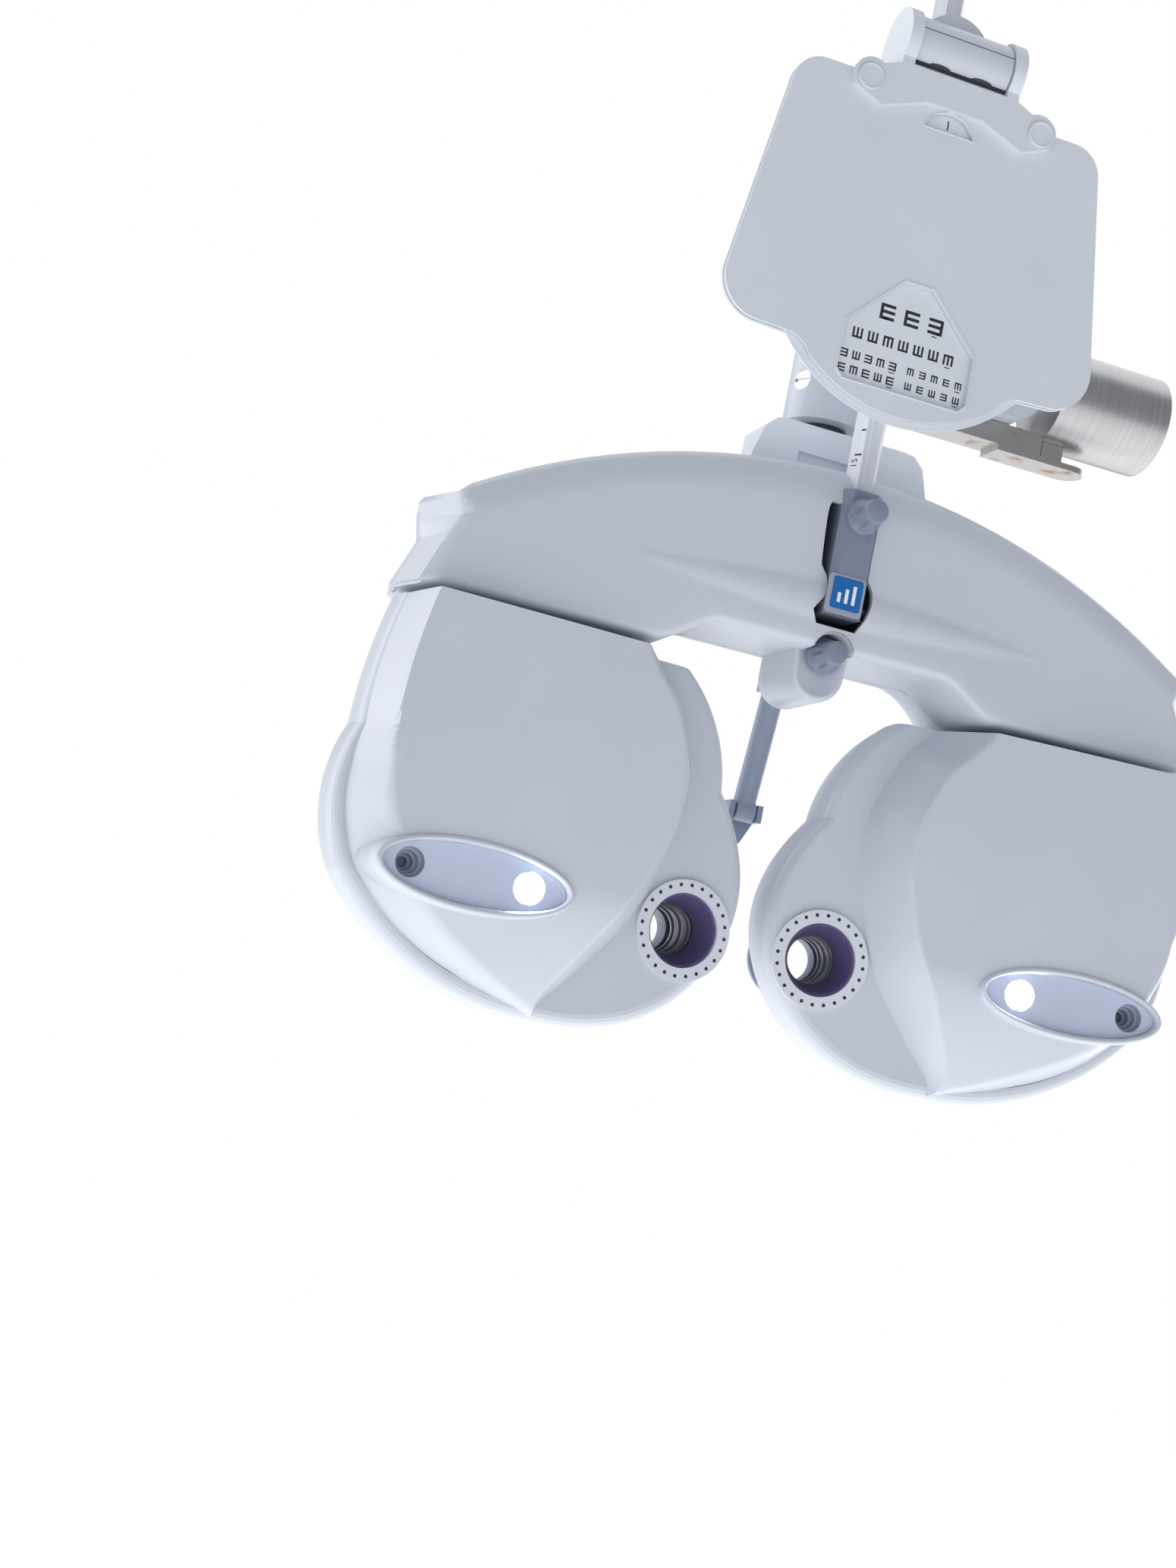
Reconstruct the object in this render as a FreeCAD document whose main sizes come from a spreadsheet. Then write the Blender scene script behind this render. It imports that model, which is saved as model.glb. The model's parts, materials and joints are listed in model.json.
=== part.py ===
"""Motorised phoropter head with near-point rod, chart and hanger.

The machine frame has x = 0 on the plane of symmetry, y = 0 at the front of the sight openings and z = 0 on the
eye line, with the operator at -Y and the patient at +Y. The row frame is the machine frame moved so that its
origin lies in the mouth of the arm socket, because that is where the object is held.
Each lens head is drawn in a frame of its own: u runs outwards from the sight opening, v backwards, w upwards.
"""

import FreeCAD
import Part
import Sketcher
import math
import os
import re

from FreeCAD import Placement, Rotation, Vector

DIMENSIONS = [
    # the arm socket, where the row's origin is
    ("socket_x", 146, "mouth of the arm socket from the plane of symmetry"),
    ("socket_y", 30, "socket axis behind the sight openings' front"),
    ("socket_z", 257, "socket axis above the eye line"),
    ("socket_bore", 18, "radius of the bore that takes the stand's arm"),
    ("socket_outer", 21.5, "outer radius of the sleeve"),
    ("socket_depth", 38, "depth of the bore"),
    ("socket_length", 50, "length of the sleeve"),
    # the lens heads
    ("eye_x", 29.1, "half the distance between the sight openings"),
    ("toe_in", 5.5, "angle that each head is turned in for near vision"),
    ("pivot_u", 70, "convergence pivot, outwards from the sight opening"),
    ("pivot_v", 31, "convergence pivot, behind the sight opening"),
    ("head_top", 99.2, "flat top of the head"),
    ("housing_back", 18, "parting plane of the two housings"),
    ("head_back", 40, "back of the rear housing"),
    ("wall", 2.5, "thickness of the moulded walls"),
    ("edge_depth", 7, "depth of the rounded edge of a head's front"),
    ("edge_inset", 5, "how far that edge draws the outline in"),
    ("cover_rise", 26.5, "height of the front cover"),
    # the sight line
    ("ring_outer", 19.6, "outer radius of the axis ring"),
    ("ring_inner", 14.4, "inner radius of the axis ring"),
    ("ring_pitch", 17.6, "radius of the circle of marks on the axis ring"),
    ("ring_marks", 24, "marks on the axis ring"),
    ("ring_rise", 1.5, "height of the axis ring"),
    ("lens_radius", 9.6, "radius of a lens"),
    ("clear_radius", 8.9, "clear radius of a lens cell"),
    ("lens_cells", 12, "cells in a disc"),
    # the disc stack and its drive
    ("disc_u", 42, "disc axle, outwards from the sight opening"),
    ("disc_w", 18, "disc axle, above the sight opening"),
    ("disc_thickness", 4.5, "thickness of a lens disc"),
    ("disc_step", 6.5, "distance between discs"),
    ("disc_first", 12.5, "front of the first disc"),
    ("hub_radius", 8, "radius of a disc's hub"),
    ("hub_rise", 0.8, "hub standing proud of each side of a disc"),
    ("axle_radius", 3, "radius of the disc axle"),
    ("running_gap", 0.05, "radial clearance of a running fit"),
    ("tooth_module", 1.5, "module of the disc teeth"),
    ("disc_teeth", 76, "teeth on a disc"),
    ("pinion_teeth", 12, "teeth on a pinion"),
    ("shaft_radius", 1.5, "radius of a motor shaft"),
    ("motor_radius", 12.5, "radius of a drive motor"),
    ("motor_length", 20, "length of a drive motor"),
    ("chassis_front", 8, "front of the chassis plate"),
    ("chassis_thickness", 2.5, "thickness of the chassis plate"),
    # the window of the lamp
    ("visor_u", 95, "middle of the lamp window"),
    ("visor_w", 1.2, "middle of the lamp window"),
    ("visor_half_length", 35.8, "half length of the lamp window"),
    ("visor_half_height", 10.8, "half height of the lamp window"),
    ("lamp_u", 74, "lamp, outwards from the sight opening"),
    ("lamp_radius", 5.6, "radius of the lamp's lens"),
    ("peep_u", 120, "peep hole in the lamp window"),
    ("peep_radius", 5.5, "radius of the peep hole"),
    # the arched body
    ("body_half_width", 168, "half width of the arched body"),
    ("body_front", 28, "front of the arched body, before the sight openings"),
    ("body_split", 12, "parting plane of the body's shells"),
    ("body_back", 48, "back of the arched body"),
    ("body_top", 185, "crown of the arch"),
    ("shoulder_z", 143.5, "ends of the crown above the eye line"),
    ("shoulder_inset", 21, "ends of the crown, in from the body's ends"),
    ("body_floor", 102.5, "underside over the heads"),
    ("arch_floor", 114.5, "underside between the heads"),
    ("boss_radius", 11, "half width of the tongue under the arch"),
    ("boss_z", 107, "centre of the tongue's round end"),
    ("boss_front", 17, "front of the tongue"),
    ("boss_back", 18.5, "back of the tongue"),
    ("knob_z", 113.5, "axis of the forehead rest's knob"),
    ("rail_radius", 3, "radius of the guide rails"),
    ("rail_low", 128, "lower guide rail"),
    ("rail_high", 139, "upper guide rail"),
    ("rail_y", 24.15, "guide rails"),
    ("rail_half_length", 144, "half length of the guide rails"),
    ("carriage_half", 14, "half width of a carriage"),
    ("stud_radius", 5, "radius of a convergence stud"),
    # cap, level pivot and hanger
    ("cap_half", 39, "half width of the cap at its foot"),
    ("cap_top", 206.5, "top of the cap"),
    ("cap_depth", 45, "depth of the cap"),
    ("swivel_y", 29, "swivel axis"),
    ("swivel_radius", 10, "radius of the swivel collar"),
    ("level_z", 196, "level pivot"),
    ("level_radius", 4, "radius of the level pin"),
    ("block_low", 215, "underside of the hanger block"),
    ("block_height", 45, "height of the hanger block"),
    ("block_radius", 17, "radius of the hub of the hanger block"),
    ("block_reach", 88, "end of the block's arm from the swivel axis"),
    ("bar_top", 238, "top of the mounting bar"),
    ("bar_thickness", 9, "thickness of the mounting bar"),
    # near-point rod and its holder
    ("rod_flats", 11, "hexagonal rod across its flats"),
    ("rod_y", 22, "rod axis before the sight openings"),
    ("rod_low", 158, "lower end of the rod"),
    ("rod_top", 545, "upper end of the rod"),
    ("holder_half", 8, "half width of the rod holder"),
    ("holder_front", 31, "front of the rod holder"),
    ("holder_back", 14, "back of the rod holder"),
    ("holder_low", 128, "lower end of the rod holder"),
    ("holder_top", 177, "upper end of the rod holder"),
    ("fold_z", 133, "hinge of the rod holder"),
    ("fold_radius", 2, "radius of the holder's hinge pin"),
    ("knob_base", 7, "radius of a knob at its base"),
    ("knob_tip", 4.5, "radius of a knob at its tip"),
    ("knob_length", 14, "length of a knob"),
    ("rod_knob_z", 167, "axis of the rod's clamping knob"),
    # near-point chart
    ("chart_front", 45, "front of the chart"),
    ("plate_thickness", 1.6, "thickness of a chart plate"),
    ("chart_gap", 0.3, "gap each side of the chart disc"),
    ("card_thickness", 0.8, "thickness of the chart disc"),
    ("chart_z", 265, "axis of the chart disc"),
    ("card_radius", 64, "radius of the chart disc"),
    ("chin_radius", 61, "radius of the plates' chin"),
    ("plate_top", 331, "top of the chart plates"),
    ("plate_low", 225, "lower edge of the plates beside the chin"),
    ("barrel_y", 38, "chart hinge before the sight openings"),
    ("barrel_z", 350, "chart hinge above the eye line"),
    ("barrel_radius", 12, "radius of the hinge barrel"),
    ("barrel_half", 19.5, "half length of the hinge barrel"),
]

FRONT_TO_BACK = Rotation(Vector(1, 0, 0), -90)
LEFT_TO_RIGHT = Rotation(Vector(0, 1, 0), 90)
UPWARDS = Rotation()
DISCS = ("auxiliary", "cylinder", "sphere")
PINION_ANGLES = {"auxiliary": -10, "cylinder": 20, "sphere": 50}
SIDES = {"right": 1, "left": -1}

doc = FreeCAD.newDocument("Phoropter")
sheet = doc.addObject("Spreadsheet::Sheet", "Sheet")
for row, (alias, value, note) in enumerate(DIMENSIONS, 1):
    sheet.set(f"A{row}", note)
    sheet.set(f"B{row}", str(value))
    sheet.setAlias(f"B{row}", alias)
doc.recompute()
subparts = []


class Size:
    """Reads a driving dimension from the sheet, as size.wall."""

    def __getattr__(self, alias):
        return float(getattr(sheet, alias))


size = Size()


# ---- small tools ---------------------------------------------------------------------------------------------


def bind(obj, **formulas):
    """Binds properties to cells. Every word in a formula is an alias of the sheet."""
    for name, text in formulas.items():
        obj.setExpression(name, re.sub(r"[a-z]\w*", lambda word: "Sheet." + word.group(0), str(text)))
    return obj


def cylinder(radius, height, at, turn=UPWARDS):
    made = bind(doc.addObject("Part::Cylinder", "Cylinder"), Radius=radius, Height=height)
    made.Placement = Placement(Vector(*at), turn)
    return made


def cone(radius_1, radius_2, height, at, turn=UPWARDS):
    made = bind(doc.addObject("Part::Cone", "Cone"), Radius1=radius_1, Radius2=radius_2, Height=height)
    made.Placement = Placement(Vector(*at), turn)
    return made


def box(length, width, height, at):
    made = bind(doc.addObject("Part::Box", "Box"), Length=length, Width=width, Height=height)
    made.Placement = Placement(Vector(*at), UPWARDS)
    return made


def centred_box(length, width, height, x, y, z):
    """A box of plain sizes about a middle point."""
    return box(length, width, height, (x - length / 2, y - width / 2, z - height / 2))


def cut(base, *tools):
    for tool in tools:
        result = doc.addObject("Part::Cut", "Cut")
        result.Base, result.Tool = base, tool
        base = result
    return base


def fuse(*shapes):
    result = doc.addObject("Part::MultiFuse", "Fuse")
    result.Shapes = list(shapes)
    result.Refine = True
    return result


def solid_of(shape):
    """A Part::Feature that holds a shape made with Part's own functions."""
    made = doc.addObject("Part::Feature", "Shape")
    made.Shape = shape
    return made


def machine_frame():
    return Placement(Vector(-size.socket_x, -size.socket_y, -size.socket_z), Rotation())


def head_frame(side):
    toe_in = Rotation(Vector(0, 0, 1), -side * size.toe_in)
    return machine_frame() * Placement(Vector(side * size.eye_x, 0, 0), toe_in)


def keep(obj, name, frame):
    """Makes obj a sub-part with a name, in place in the row frame."""
    obj.Label = name
    obj.Placement = frame * obj.Placement
    subparts.append(obj)
    return obj


def flat_wire(start, *steps, y=0.0, mirror=1, scale=1.0, about=(0, 0)):
    """A closed wire at depth y. A step is an end point, an arc's (middle, end), or a curve's points."""

    def at(p):
        x = about[0] + scale * (p[0] - about[0])
        z = about[1] + scale * (p[1] - about[1])
        return Vector(mirror * x, y, z)

    edges, here = [], start
    last = steps[-1] if isinstance(steps[-1][0], (int, float)) else steps[-1][-1]
    closing = () if last == start else (start,)
    for step in steps + closing:
        points = [step] if isinstance(step[0], (int, float)) else list(step)
        if len(points) == 1:
            edges.append(Part.LineSegment(at(here), at(points[0])).toShape())
        elif len(points) == 2:
            edges.append(Part.Arc(at(here), at(points[0]), at(points[1])).toShape())
        else:
            curve = Part.BSplineCurve()
            curve.interpolate([at(p) for p in [here] + points])
            edges.append(curve.toShape())
        here = points[-1]
    return Part.Wire(edges)


def slab(wire, depth):
    return Part.Face(wire).extrude(Vector(0, depth, 0))


def box_shape(x_low, x_high, y_low, y_high, z_low, z_high):
    corner = Vector(x_low, y_low, z_low)
    return Part.makeBox(x_high - x_low, y_high - y_low, z_high - z_low, corner)


def rod_shape(radius, length, at, direction=Vector(0, 1, 0)):
    return Part.makeCylinder(radius, length, Vector(*at), direction)


# ---- PartDesign tools ----------------------------------------------------------------------------------------


def new_body():
    return doc.addObject("PartDesign::Body", "Body")


def new_sketch(body, plane):
    """A sketch on one of the body's own origin planes: XY_Plane, XZ_Plane or YZ_Plane."""
    sketch = body.newObject("Sketcher::SketchObject", "Sketch")
    origin = next(f for f in body.Origin.OriginFeatures if f.Role == plane)
    sketch.AttachmentSupport = [(origin, "")]
    sketch.MapMode = "FlatFace"
    return sketch


def sketch_circle(sketch, radius, x=0.0, y=0.0):
    """A circle whose radius is bound to the sheet."""
    index = sketch.addGeometry(Part.Circle(Vector(x, y, 0), Vector(0, 0, 1), 1.0), False)
    constraint = sketch.addConstraint(Sketcher.Constraint("Radius", index, 1.0))
    sketch.setExpression(f"Constraints[{constraint}]", re.sub(r"[a-z]\w*", lambda w: "Sheet." + w.group(0), radius))


def sketch_loop(sketch, wire):
    for edge in wire.Edges:
        curve = edge.Curve.trim(edge.FirstParameter, edge.LastParameter)
        if isinstance(edge.Curve, Part.Line):
            curve = Part.LineSegment(edge.Vertexes[0].Point, edge.Vertexes[1].Point)
        sketch.addGeometry(curve, False)


def pad(body, sketch, length, backwards=False):
    made = body.newObject("PartDesign::Pad", "Pad")
    made.Profile = sketch
    bind(made, Length=length)
    made.Reversed = backwards
    return made


def pocket(body, sketch, length=None, backwards=False):
    made = body.newObject("PartDesign::Pocket", "Pocket")
    made.Profile = sketch
    if length is None:
        made.Type = "ThroughAll"
        made.Midplane = True
    else:
        bind(made, Length=length)
        made.Reversed = backwards
    return made


def polar(body, feature, axis, count):
    pattern = body.newObject("PartDesign::PolarPattern", "PolarPattern")
    pattern.Originals = [feature]
    origin = next(f for f in body.Origin.OriginFeatures if f.Role == axis)
    pattern.Axis = (origin, [""])
    pattern.Angle = 360
    bind(pattern, Occurrences=count)
    body.Tip = pattern
    return pattern


# ---- outlines of a head --------------------------------------------------------------------------------------

OUTLINE_TOP = 130  # the outlines run above the head's flat top, which is then cut
MIDDLE = (76, 50)  # where the sections of a head are scaled about
REACH = 93  # mean distance of a head's outline from the middle
ROUND_STEPS = 5  # flats along a rounded edge
HEAD_START = (22, OUTLINE_TOP)
OUTER_STEPS = (
    ((97, -37), (137.7, -5.4)),
    ((146, 23), (141, 48.8)),
    ((137.2, 86), (123.5, OUTLINE_TOP)),
)
HEAD_STEPS = (
    (22, 104),
    ((2.2, 84.5), (-7.6, 56)),
    ((-18, 39), (-22.8, 24), (-23, 7), (-18.6, -7), (-2.5, -28.6), (9.4, -36.9), (25, -42.8), (50, -45.3)),
    *OUTER_STEPS,
)
COVER_START = (50, OUTLINE_TOP)
COVER_STEPS = (
    ((33, 102), (19.8, 87), (10.5, 65), (8.3, 49), (11, 29), (21, 2), (38, -22), (51, -37), (54, -45.2)),
    *OUTER_STEPS,
)


def tucked(step, tuck):
    """Draws the outer side of an outline's step in by tuck."""
    if isinstance(step[0], (int, float)):
        u, w = step
        return (u - tuck * max(u - 60, 0) / 80, w)
    return tuple(tucked(point, tuck) for point in step)


def head_wire(side, v, scale=1.0, tuck=0.0):
    steps = [tucked(step, tuck) for step in HEAD_STEPS]
    return flat_wire(HEAD_START, *steps, y=v, mirror=side, scale=scale, about=MIDDLE)


def cover_wire(side, v, scale=1.0):
    return flat_wire(COVER_START, *COVER_STEPS, y=v, mirror=side, scale=scale, about=MIDDLE)


def rounded_edge(face, foot, scale, shrink):
    """Sections (v, scale) of an edge rounded from a face, where the outline is smaller by shrink, to its foot."""
    made = []
    for step in range(ROUND_STEPS + 1):
        turn = math.pi / 2 * step / ROUND_STEPS
        made.append((face + (foot - face) * (1 - math.cos(turn)), scale - shrink * (1 - math.sin(turn))))
    return made


def below_top(shape, drop=0.0):
    """Cuts a head's shape flat at its top, less drop."""
    top = size.head_top - drop
    return shape.common(box_shape(-200, 200, -60, 80, -80, top))


def ellipse_prism(side, half_length, half_height, v_low, v_high):
    centre = Vector(side * size.visor_u, v_low, size.visor_w)
    ellipse = Part.Ellipse(centre + Vector(half_length, 0, 0), centre + Vector(0, 0, half_height), centre)
    return slab(Part.Wire(ellipse.toShape()), v_high - v_low)


# ---- casings of a head ---------------------------------------------------------------------------------------


def front_cover(side):
    """The raised cover: a stack of shrinking sections, hollow, with the raised rim of the lamp window."""
    sections = ((1.0, 0.0), (0.975, 0.28), (0.935, 0.56), (0.88, 0.8), (0.81, 0.94), (0.72, 1.0))
    outer = Part.makeLoft([cover_wire(side, -size.cover_rise * rise, k) for k, rise in sections], True, False)
    inner_rise = size.cover_rise - size.wall
    shrink = 0.96
    wires = [cover_wire(side, 0.01 - inner_rise * rise, k * shrink) for k, rise in sections]
    inner = Part.makeLoft(wires, True, False)
    rim = ellipse_prism(side, size.visor_half_length + 2.5, size.visor_half_height + 2.5, -size.cover_rise - 1, -17)
    opening = ellipse_prism(side, size.visor_half_length, size.visor_half_height, -size.cover_rise - 9, -10)
    shell = below_top(outer).cut(below_top(inner, size.wall)).fuse(rim).cut(opening)
    keep(solid_of(shell.removeSplitter()), name(side, "front_cover"), head_frame(side))


def front_housing(side):
    """The casing with the sight opening: a face plate with a rounded edge and the side walls."""
    sections = rounded_edge(0, size.edge_depth, 1.0, size.edge_inset / REACH)
    edge = Part.makeLoft([head_wire(side, v, k) for v, k in sections], True, True)
    outer = edge.fuse(slab(head_wire(side, size.edge_depth), size.housing_back - size.edge_depth))
    inner = slab(head_wire(side, size.wall, 0.965), size.housing_back)
    bulge = slab(cover_wire(side, -1, 0.93), 2 * size.wall)
    bulge = bulge.common(box_shape(-200, 200, -5, 10, -80, size.head_top - 3 * size.wall))
    sight = rod_shape(size.ring_inner + 0.4, 10, (0, -2, 0))
    shell = below_top(outer).cut(below_top(inner, size.wall)).cut(bulge).cut(sight)
    keep(solid_of(shell.removeSplitter()), name(side, "front_housing"), head_frame(side))


def rear_housing(side):
    """The patient's side of the head, drawn in behind. It has holes for the eyepiece and the convergence stud."""
    front, back = size.housing_back, size.head_back
    sections = ((front, 0.992, 0), (22, 0.99, 1), (27, 0.987, 4.5), (32, 0.983, 9), (37, 0.965, 14), (back, 0.92, 17))
    outer = Part.makeLoft([head_wire(side, v, k, tuck) for v, k, tuck in sections], True, True)
    room = [head_wire(side, front - 0.01, 0.967, 0), head_wire(side, back - 8.4, 0.957, 10)]
    inner = Part.makeLoft(room, True, True).fuse(slab(head_wire(side, back - 8.42, 0.92, 16), 5.9))
    eye = rod_shape(14.1, 20, (0, back - 10, 0))
    stud = rod_shape(6.5, 20, (side * size.pivot_u, size.pivot_v, size.head_top - 10), Vector(0, 0, 1))
    shell = below_top(outer).cut(below_top(inner, size.wall)).cut(eye).cut(stud)
    keep(solid_of(shell.removeSplitter()), name(side, "rear_housing"), head_frame(side))


def name(side, part):
    return ("right_" if side > 0 else "left_") + part


# ---- inside a head -------------------------------------------------------------------------------------------


def gear_points(teeth, first_tooth):
    """The outline of a spur gear with straight-sided teeth, first_tooth being one tooth's middle in radians."""
    module = size.tooth_module
    pitch_radius = teeth * module / 2
    tip, root = pitch_radius + 0.7 * module, pitch_radius - module
    half_tip, half_root = 0.38 * module / tip, 1.02 * module / root
    points = []
    for tooth in range(int(teeth)):
        middle = first_tooth + 2 * math.pi * tooth / teeth
        for radius, turn in ((root, -half_root), (tip, -half_tip), (tip, half_tip), (root, half_root)):
            points.append((radius * math.cos(middle + turn), radius * math.sin(middle + turn)))
    return points


def gear_shape(side, teeth, first_tooth, u, v, w, thickness):
    points = [Vector(side * (u + x), v, w + z) for x, z in gear_points(teeth, first_tooth)]
    return slab(Part.makePolygon(points + points[:1]), thickness)


def disc_front(disc):
    return size.disc_first + DISCS.index(disc) * size.disc_step


def pinion_centre(disc):
    reach = (size.disc_teeth + size.pinion_teeth) * size.tooth_module / 2
    angle = math.radians(PINION_ANGLES[disc])
    return size.disc_u + reach * math.cos(angle), size.disc_w + reach * math.sin(angle)


def cell_centres():
    """Middles of the lens cells; the first one is on the sight line."""
    reach = math.hypot(size.disc_u, size.disc_w)
    start = math.atan2(-size.disc_w, -size.disc_u)
    step = 2 * math.pi / size.lens_cells
    turns = [start + step * cell for cell in range(int(size.lens_cells))]
    return [(size.disc_u + reach * math.cos(a), size.disc_w + reach * math.sin(a)) for a in turns]


def lens_disc(side, disc):
    """A toothed disc with a hub and a ring of stepped lens cells."""
    front = disc_front(disc)
    u, w = size.disc_u, size.disc_w
    towards_pinion = math.radians(PINION_ANGLES[disc])
    shape = gear_shape(side, size.disc_teeth, towards_pinion, u, front, w, size.disc_thickness)
    hub_length = size.disc_thickness + 2 * size.hub_rise
    shape = shape.fuse(rod_shape(size.hub_radius, hub_length, (side * u, front - size.hub_rise, w)))
    tools = [rod_shape(size.axle_radius + size.running_gap, 20, (side * u, front - 5, w))]
    for cell_u, cell_w in cell_centres():
        tools.append(rod_shape(size.clear_radius, 20, (side * cell_u, front - 5, cell_w)))
        tools.append(rod_shape(size.lens_radius, 3, (side * cell_u, front - 0.001, cell_w)))
    keep(solid_of(shape.cut(tools).removeSplitter()), name(side, disc + "_disc"), head_frame(side))


def lenses(side, disc):
    """The lenses of one disc; the cell on the sight line is left open."""
    front = disc_front(disc)
    glass = [
        rod_shape(size.lens_radius, 2, (side * u, front + 1, w)) for u, w in cell_centres()[1:]
    ]
    keep(solid_of(Part.makeCompound(glass)), name(side, disc + "_lenses"), head_frame(side))


def pinion(side, disc):
    """A pinion with its shaft. A gap between its teeth faces the disc."""
    u, w = pinion_centre(disc)
    front = disc_front(disc)
    facing = math.radians(PINION_ANGLES[disc]) + math.pi
    half_tooth = math.pi / size.pinion_teeth
    gear = gear_shape(side, size.pinion_teeth, facing + half_tooth, u, front, w, size.disc_thickness)
    shaft = rod_shape(size.shaft_radius, front - 1, (side * u, 1, w))
    keep(solid_of(gear.fuse(shaft).removeSplitter()), name(side, disc + "_pinion"), head_frame(side))


def drive_motors(side):
    """Three stepper motors on the front of the chassis plate."""
    bodies = []
    for disc in DISCS:
        u, w = pinion_centre(disc)
        front = size.chassis_front - size.motor_length
        can = cylinder("motor_radius", "motor_length", (side * u, front, w), FRONT_TO_BACK)
        bore = cylinder("shaft_radius + running_gap", 12, (side * u, 0.5, w), FRONT_TO_BACK)
        bodies.append(cut(can, bore))
    group = doc.addObject("Part::Compound", "Motors")
    group.Links = bodies
    keep(group, name(side, "drive_motors"), head_frame(side))


def chassis(side):
    """The plate that carries the motors and the axle, with the bracket that hangs on the convergence stud."""
    v = size.chassis_front
    outline = head_wire(side, v, 0.93)
    plate = below_top(slab(outline, size.chassis_thickness), 8)
    bracket = box_shape(-10, 10, v, size.pivot_v + 6, size.head_top - 11.5, size.head_top - 3)
    bracket.translate(Vector(side * size.pivot_u, 0, 0))
    tools = [rod_shape(16, 20, (0, 0, 0)), rod_shape(size.axle_radius, 20, (side * size.disc_u, 0, size.disc_w))]
    for disc in DISCS:
        u, w = pinion_centre(disc)
        tools.append(rod_shape(4, 20, (side * u, 0, w)))
    stud_bore = (side * size.pivot_u, size.pivot_v, 80)
    tools.append(rod_shape(size.stud_radius + size.running_gap, 30, stud_bore, Vector(0, 0, 1)))
    shape = plate.fuse(bracket).cut(tools).removeSplitter()
    keep(solid_of(shape), name(side, "chassis"), head_frame(side))


def disc_axle(side):
    at_u, at_w = side * size.disc_u, size.disc_w
    shaft = cylinder("axle_radius", 25, (at_u, size.chassis_front, at_w), FRONT_TO_BACK)
    last_hub = disc_front("sphere") + size.disc_thickness + size.hub_rise
    flange = cylinder("axle_radius * 2", 2, (at_u, last_hub + 0.3, at_w), FRONT_TO_BACK)
    keep(fuse(shaft, flange), name(side, "disc_axle"), head_frame(side))


# ---- what shows on a head ------------------------------------------------------------------------------------


def aperture_ring(side):
    """The axis ring with its circle of marks, sunk as small blind holes."""
    body = new_body()
    outline = new_sketch(body, "XZ_Plane")
    sketch_circle(outline, "ring_outer")
    sketch_circle(outline, "ring_inner")
    pad(body, outline, "ring_rise")
    mark = new_sketch(body, "XZ_Plane")
    mark.addGeometry(Part.Circle(Vector(0, size.ring_pitch, 0), Vector(0, 0, 1), 0.75), False)
    mark.AttachmentOffset = Placement(Vector(0, 0, size.ring_rise), Rotation())
    hole = pocket(body, mark, "ring_rise / 2")
    polar(body, hole, "Y_Axis", "ring_marks")
    keep(body, name(side, "aperture_ring"), head_frame(side))


def aperture_tube(side):
    """The black baffle behind the ring, which narrows towards the discs."""
    outer = cone("ring_inner", "lens_radius + 2", 11.2, (0, 0, 0), FRONT_TO_BACK)
    bore = cone("ring_inner - 1", "lens_radius", 11.2, (0, 0, 0), FRONT_TO_BACK)
    keep(cut(outer, bore), name(side, "aperture_tube"), head_frame(side))


def eyepiece(side):
    """The patient's opening: a short tube with a flange behind the rear housing."""
    back = size.head_back
    tube = cylinder(14, 8, (0, back - 6, 0), FRONT_TO_BACK)
    flange = cylinder(17, 2.5, (0, back, 0), FRONT_TO_BACK)
    bore = cylinder("clear_radius", 20, (0, back - 10, 0), FRONT_TO_BACK)
    keep(cut(fuse(tube, flange), bore), name(side, "eyepiece"), head_frame(side))


def lamp_visor(side):
    """The tinted window plate with openings for the lamp and the peep hole."""
    gap = 0.2
    half_length, half_height = size.visor_half_length - gap, size.visor_half_height - gap
    plate = ellipse_prism(side, half_length, half_height, -24.5, -22.5)
    lamp_hole = rod_shape(size.lamp_radius + 0.4, 10, (side * size.lamp_u, -28, size.visor_w))
    peep = rod_shape(size.peep_radius, 10, (side * size.peep_u, -28, size.visor_w))
    keep(solid_of(plate.cut([lamp_hole, peep])), name(side, "lamp_visor"), head_frame(side))


def lamp(side):
    """The lamp's lens on its stem, which stands on the chassis plate."""
    at = (side * size.lamp_u, size.visor_w)
    stem = cylinder(3, "chassis_front + 15", (at[0], -15, at[1]), FRONT_TO_BACK)
    can = cylinder("lamp_radius", 9.5, (at[0], -23, at[1]), FRONT_TO_BACK)
    dome = cone("lamp_radius / 2", "lamp_radius", 2, (at[0], -25, at[1]), FRONT_TO_BACK)
    keep(fuse(stem, can, dome), name(side, "lamp"), head_frame(side))


def pivot_point(side):
    """The convergence stud's axis in the machine frame."""
    angle = math.radians(size.toe_in)
    x = size.eye_x + size.pivot_u * math.cos(angle) + size.pivot_v * math.sin(angle)
    y = -size.pivot_u * math.sin(angle) + size.pivot_v * math.cos(angle)
    return side * x, y


def pd_carriage(side):
    """The block that runs on the guide rails, with the stud that the head turns on."""
    x, y = pivot_point(side)
    half, low = size.carriage_half, size.head_top - 15
    block = box("carriage_half * 2", 16, "rail_high + 5 - 121", (x - half, y - 8, 121))
    neck = cylinder("stud_radius", 122 - low, (x, y, low), UPWARDS)
    foot = cylinder("stud_radius + 1.2", 3.2, (x, y, low), UPWARDS)
    bores = [
        cylinder("rail_radius + running_gap", "carriage_half * 4", (x - 2 * half, size.rail_y, z), LEFT_TO_RIGHT)
        for z in (size.rail_low, size.rail_high)
    ]
    keep(cut(fuse(block, neck, foot), *bores), name(side, "pd_carriage"), machine_frame())


def make_head(side):
    for casing in (front_cover, front_housing, rear_housing, chassis, disc_axle, drive_motors):
        casing(side)
    for disc in DISCS:
        lens_disc(side, disc)
        pinion(side, disc)
    lenses(side, "cylinder")
    lenses(side, "sphere")
    for piece in (aperture_ring, aperture_tube, eyepiece, lamp_visor, lamp, pd_carriage):
        piece(side)


# ---- the arched body -----------------------------------------------------------------------------------------


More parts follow.
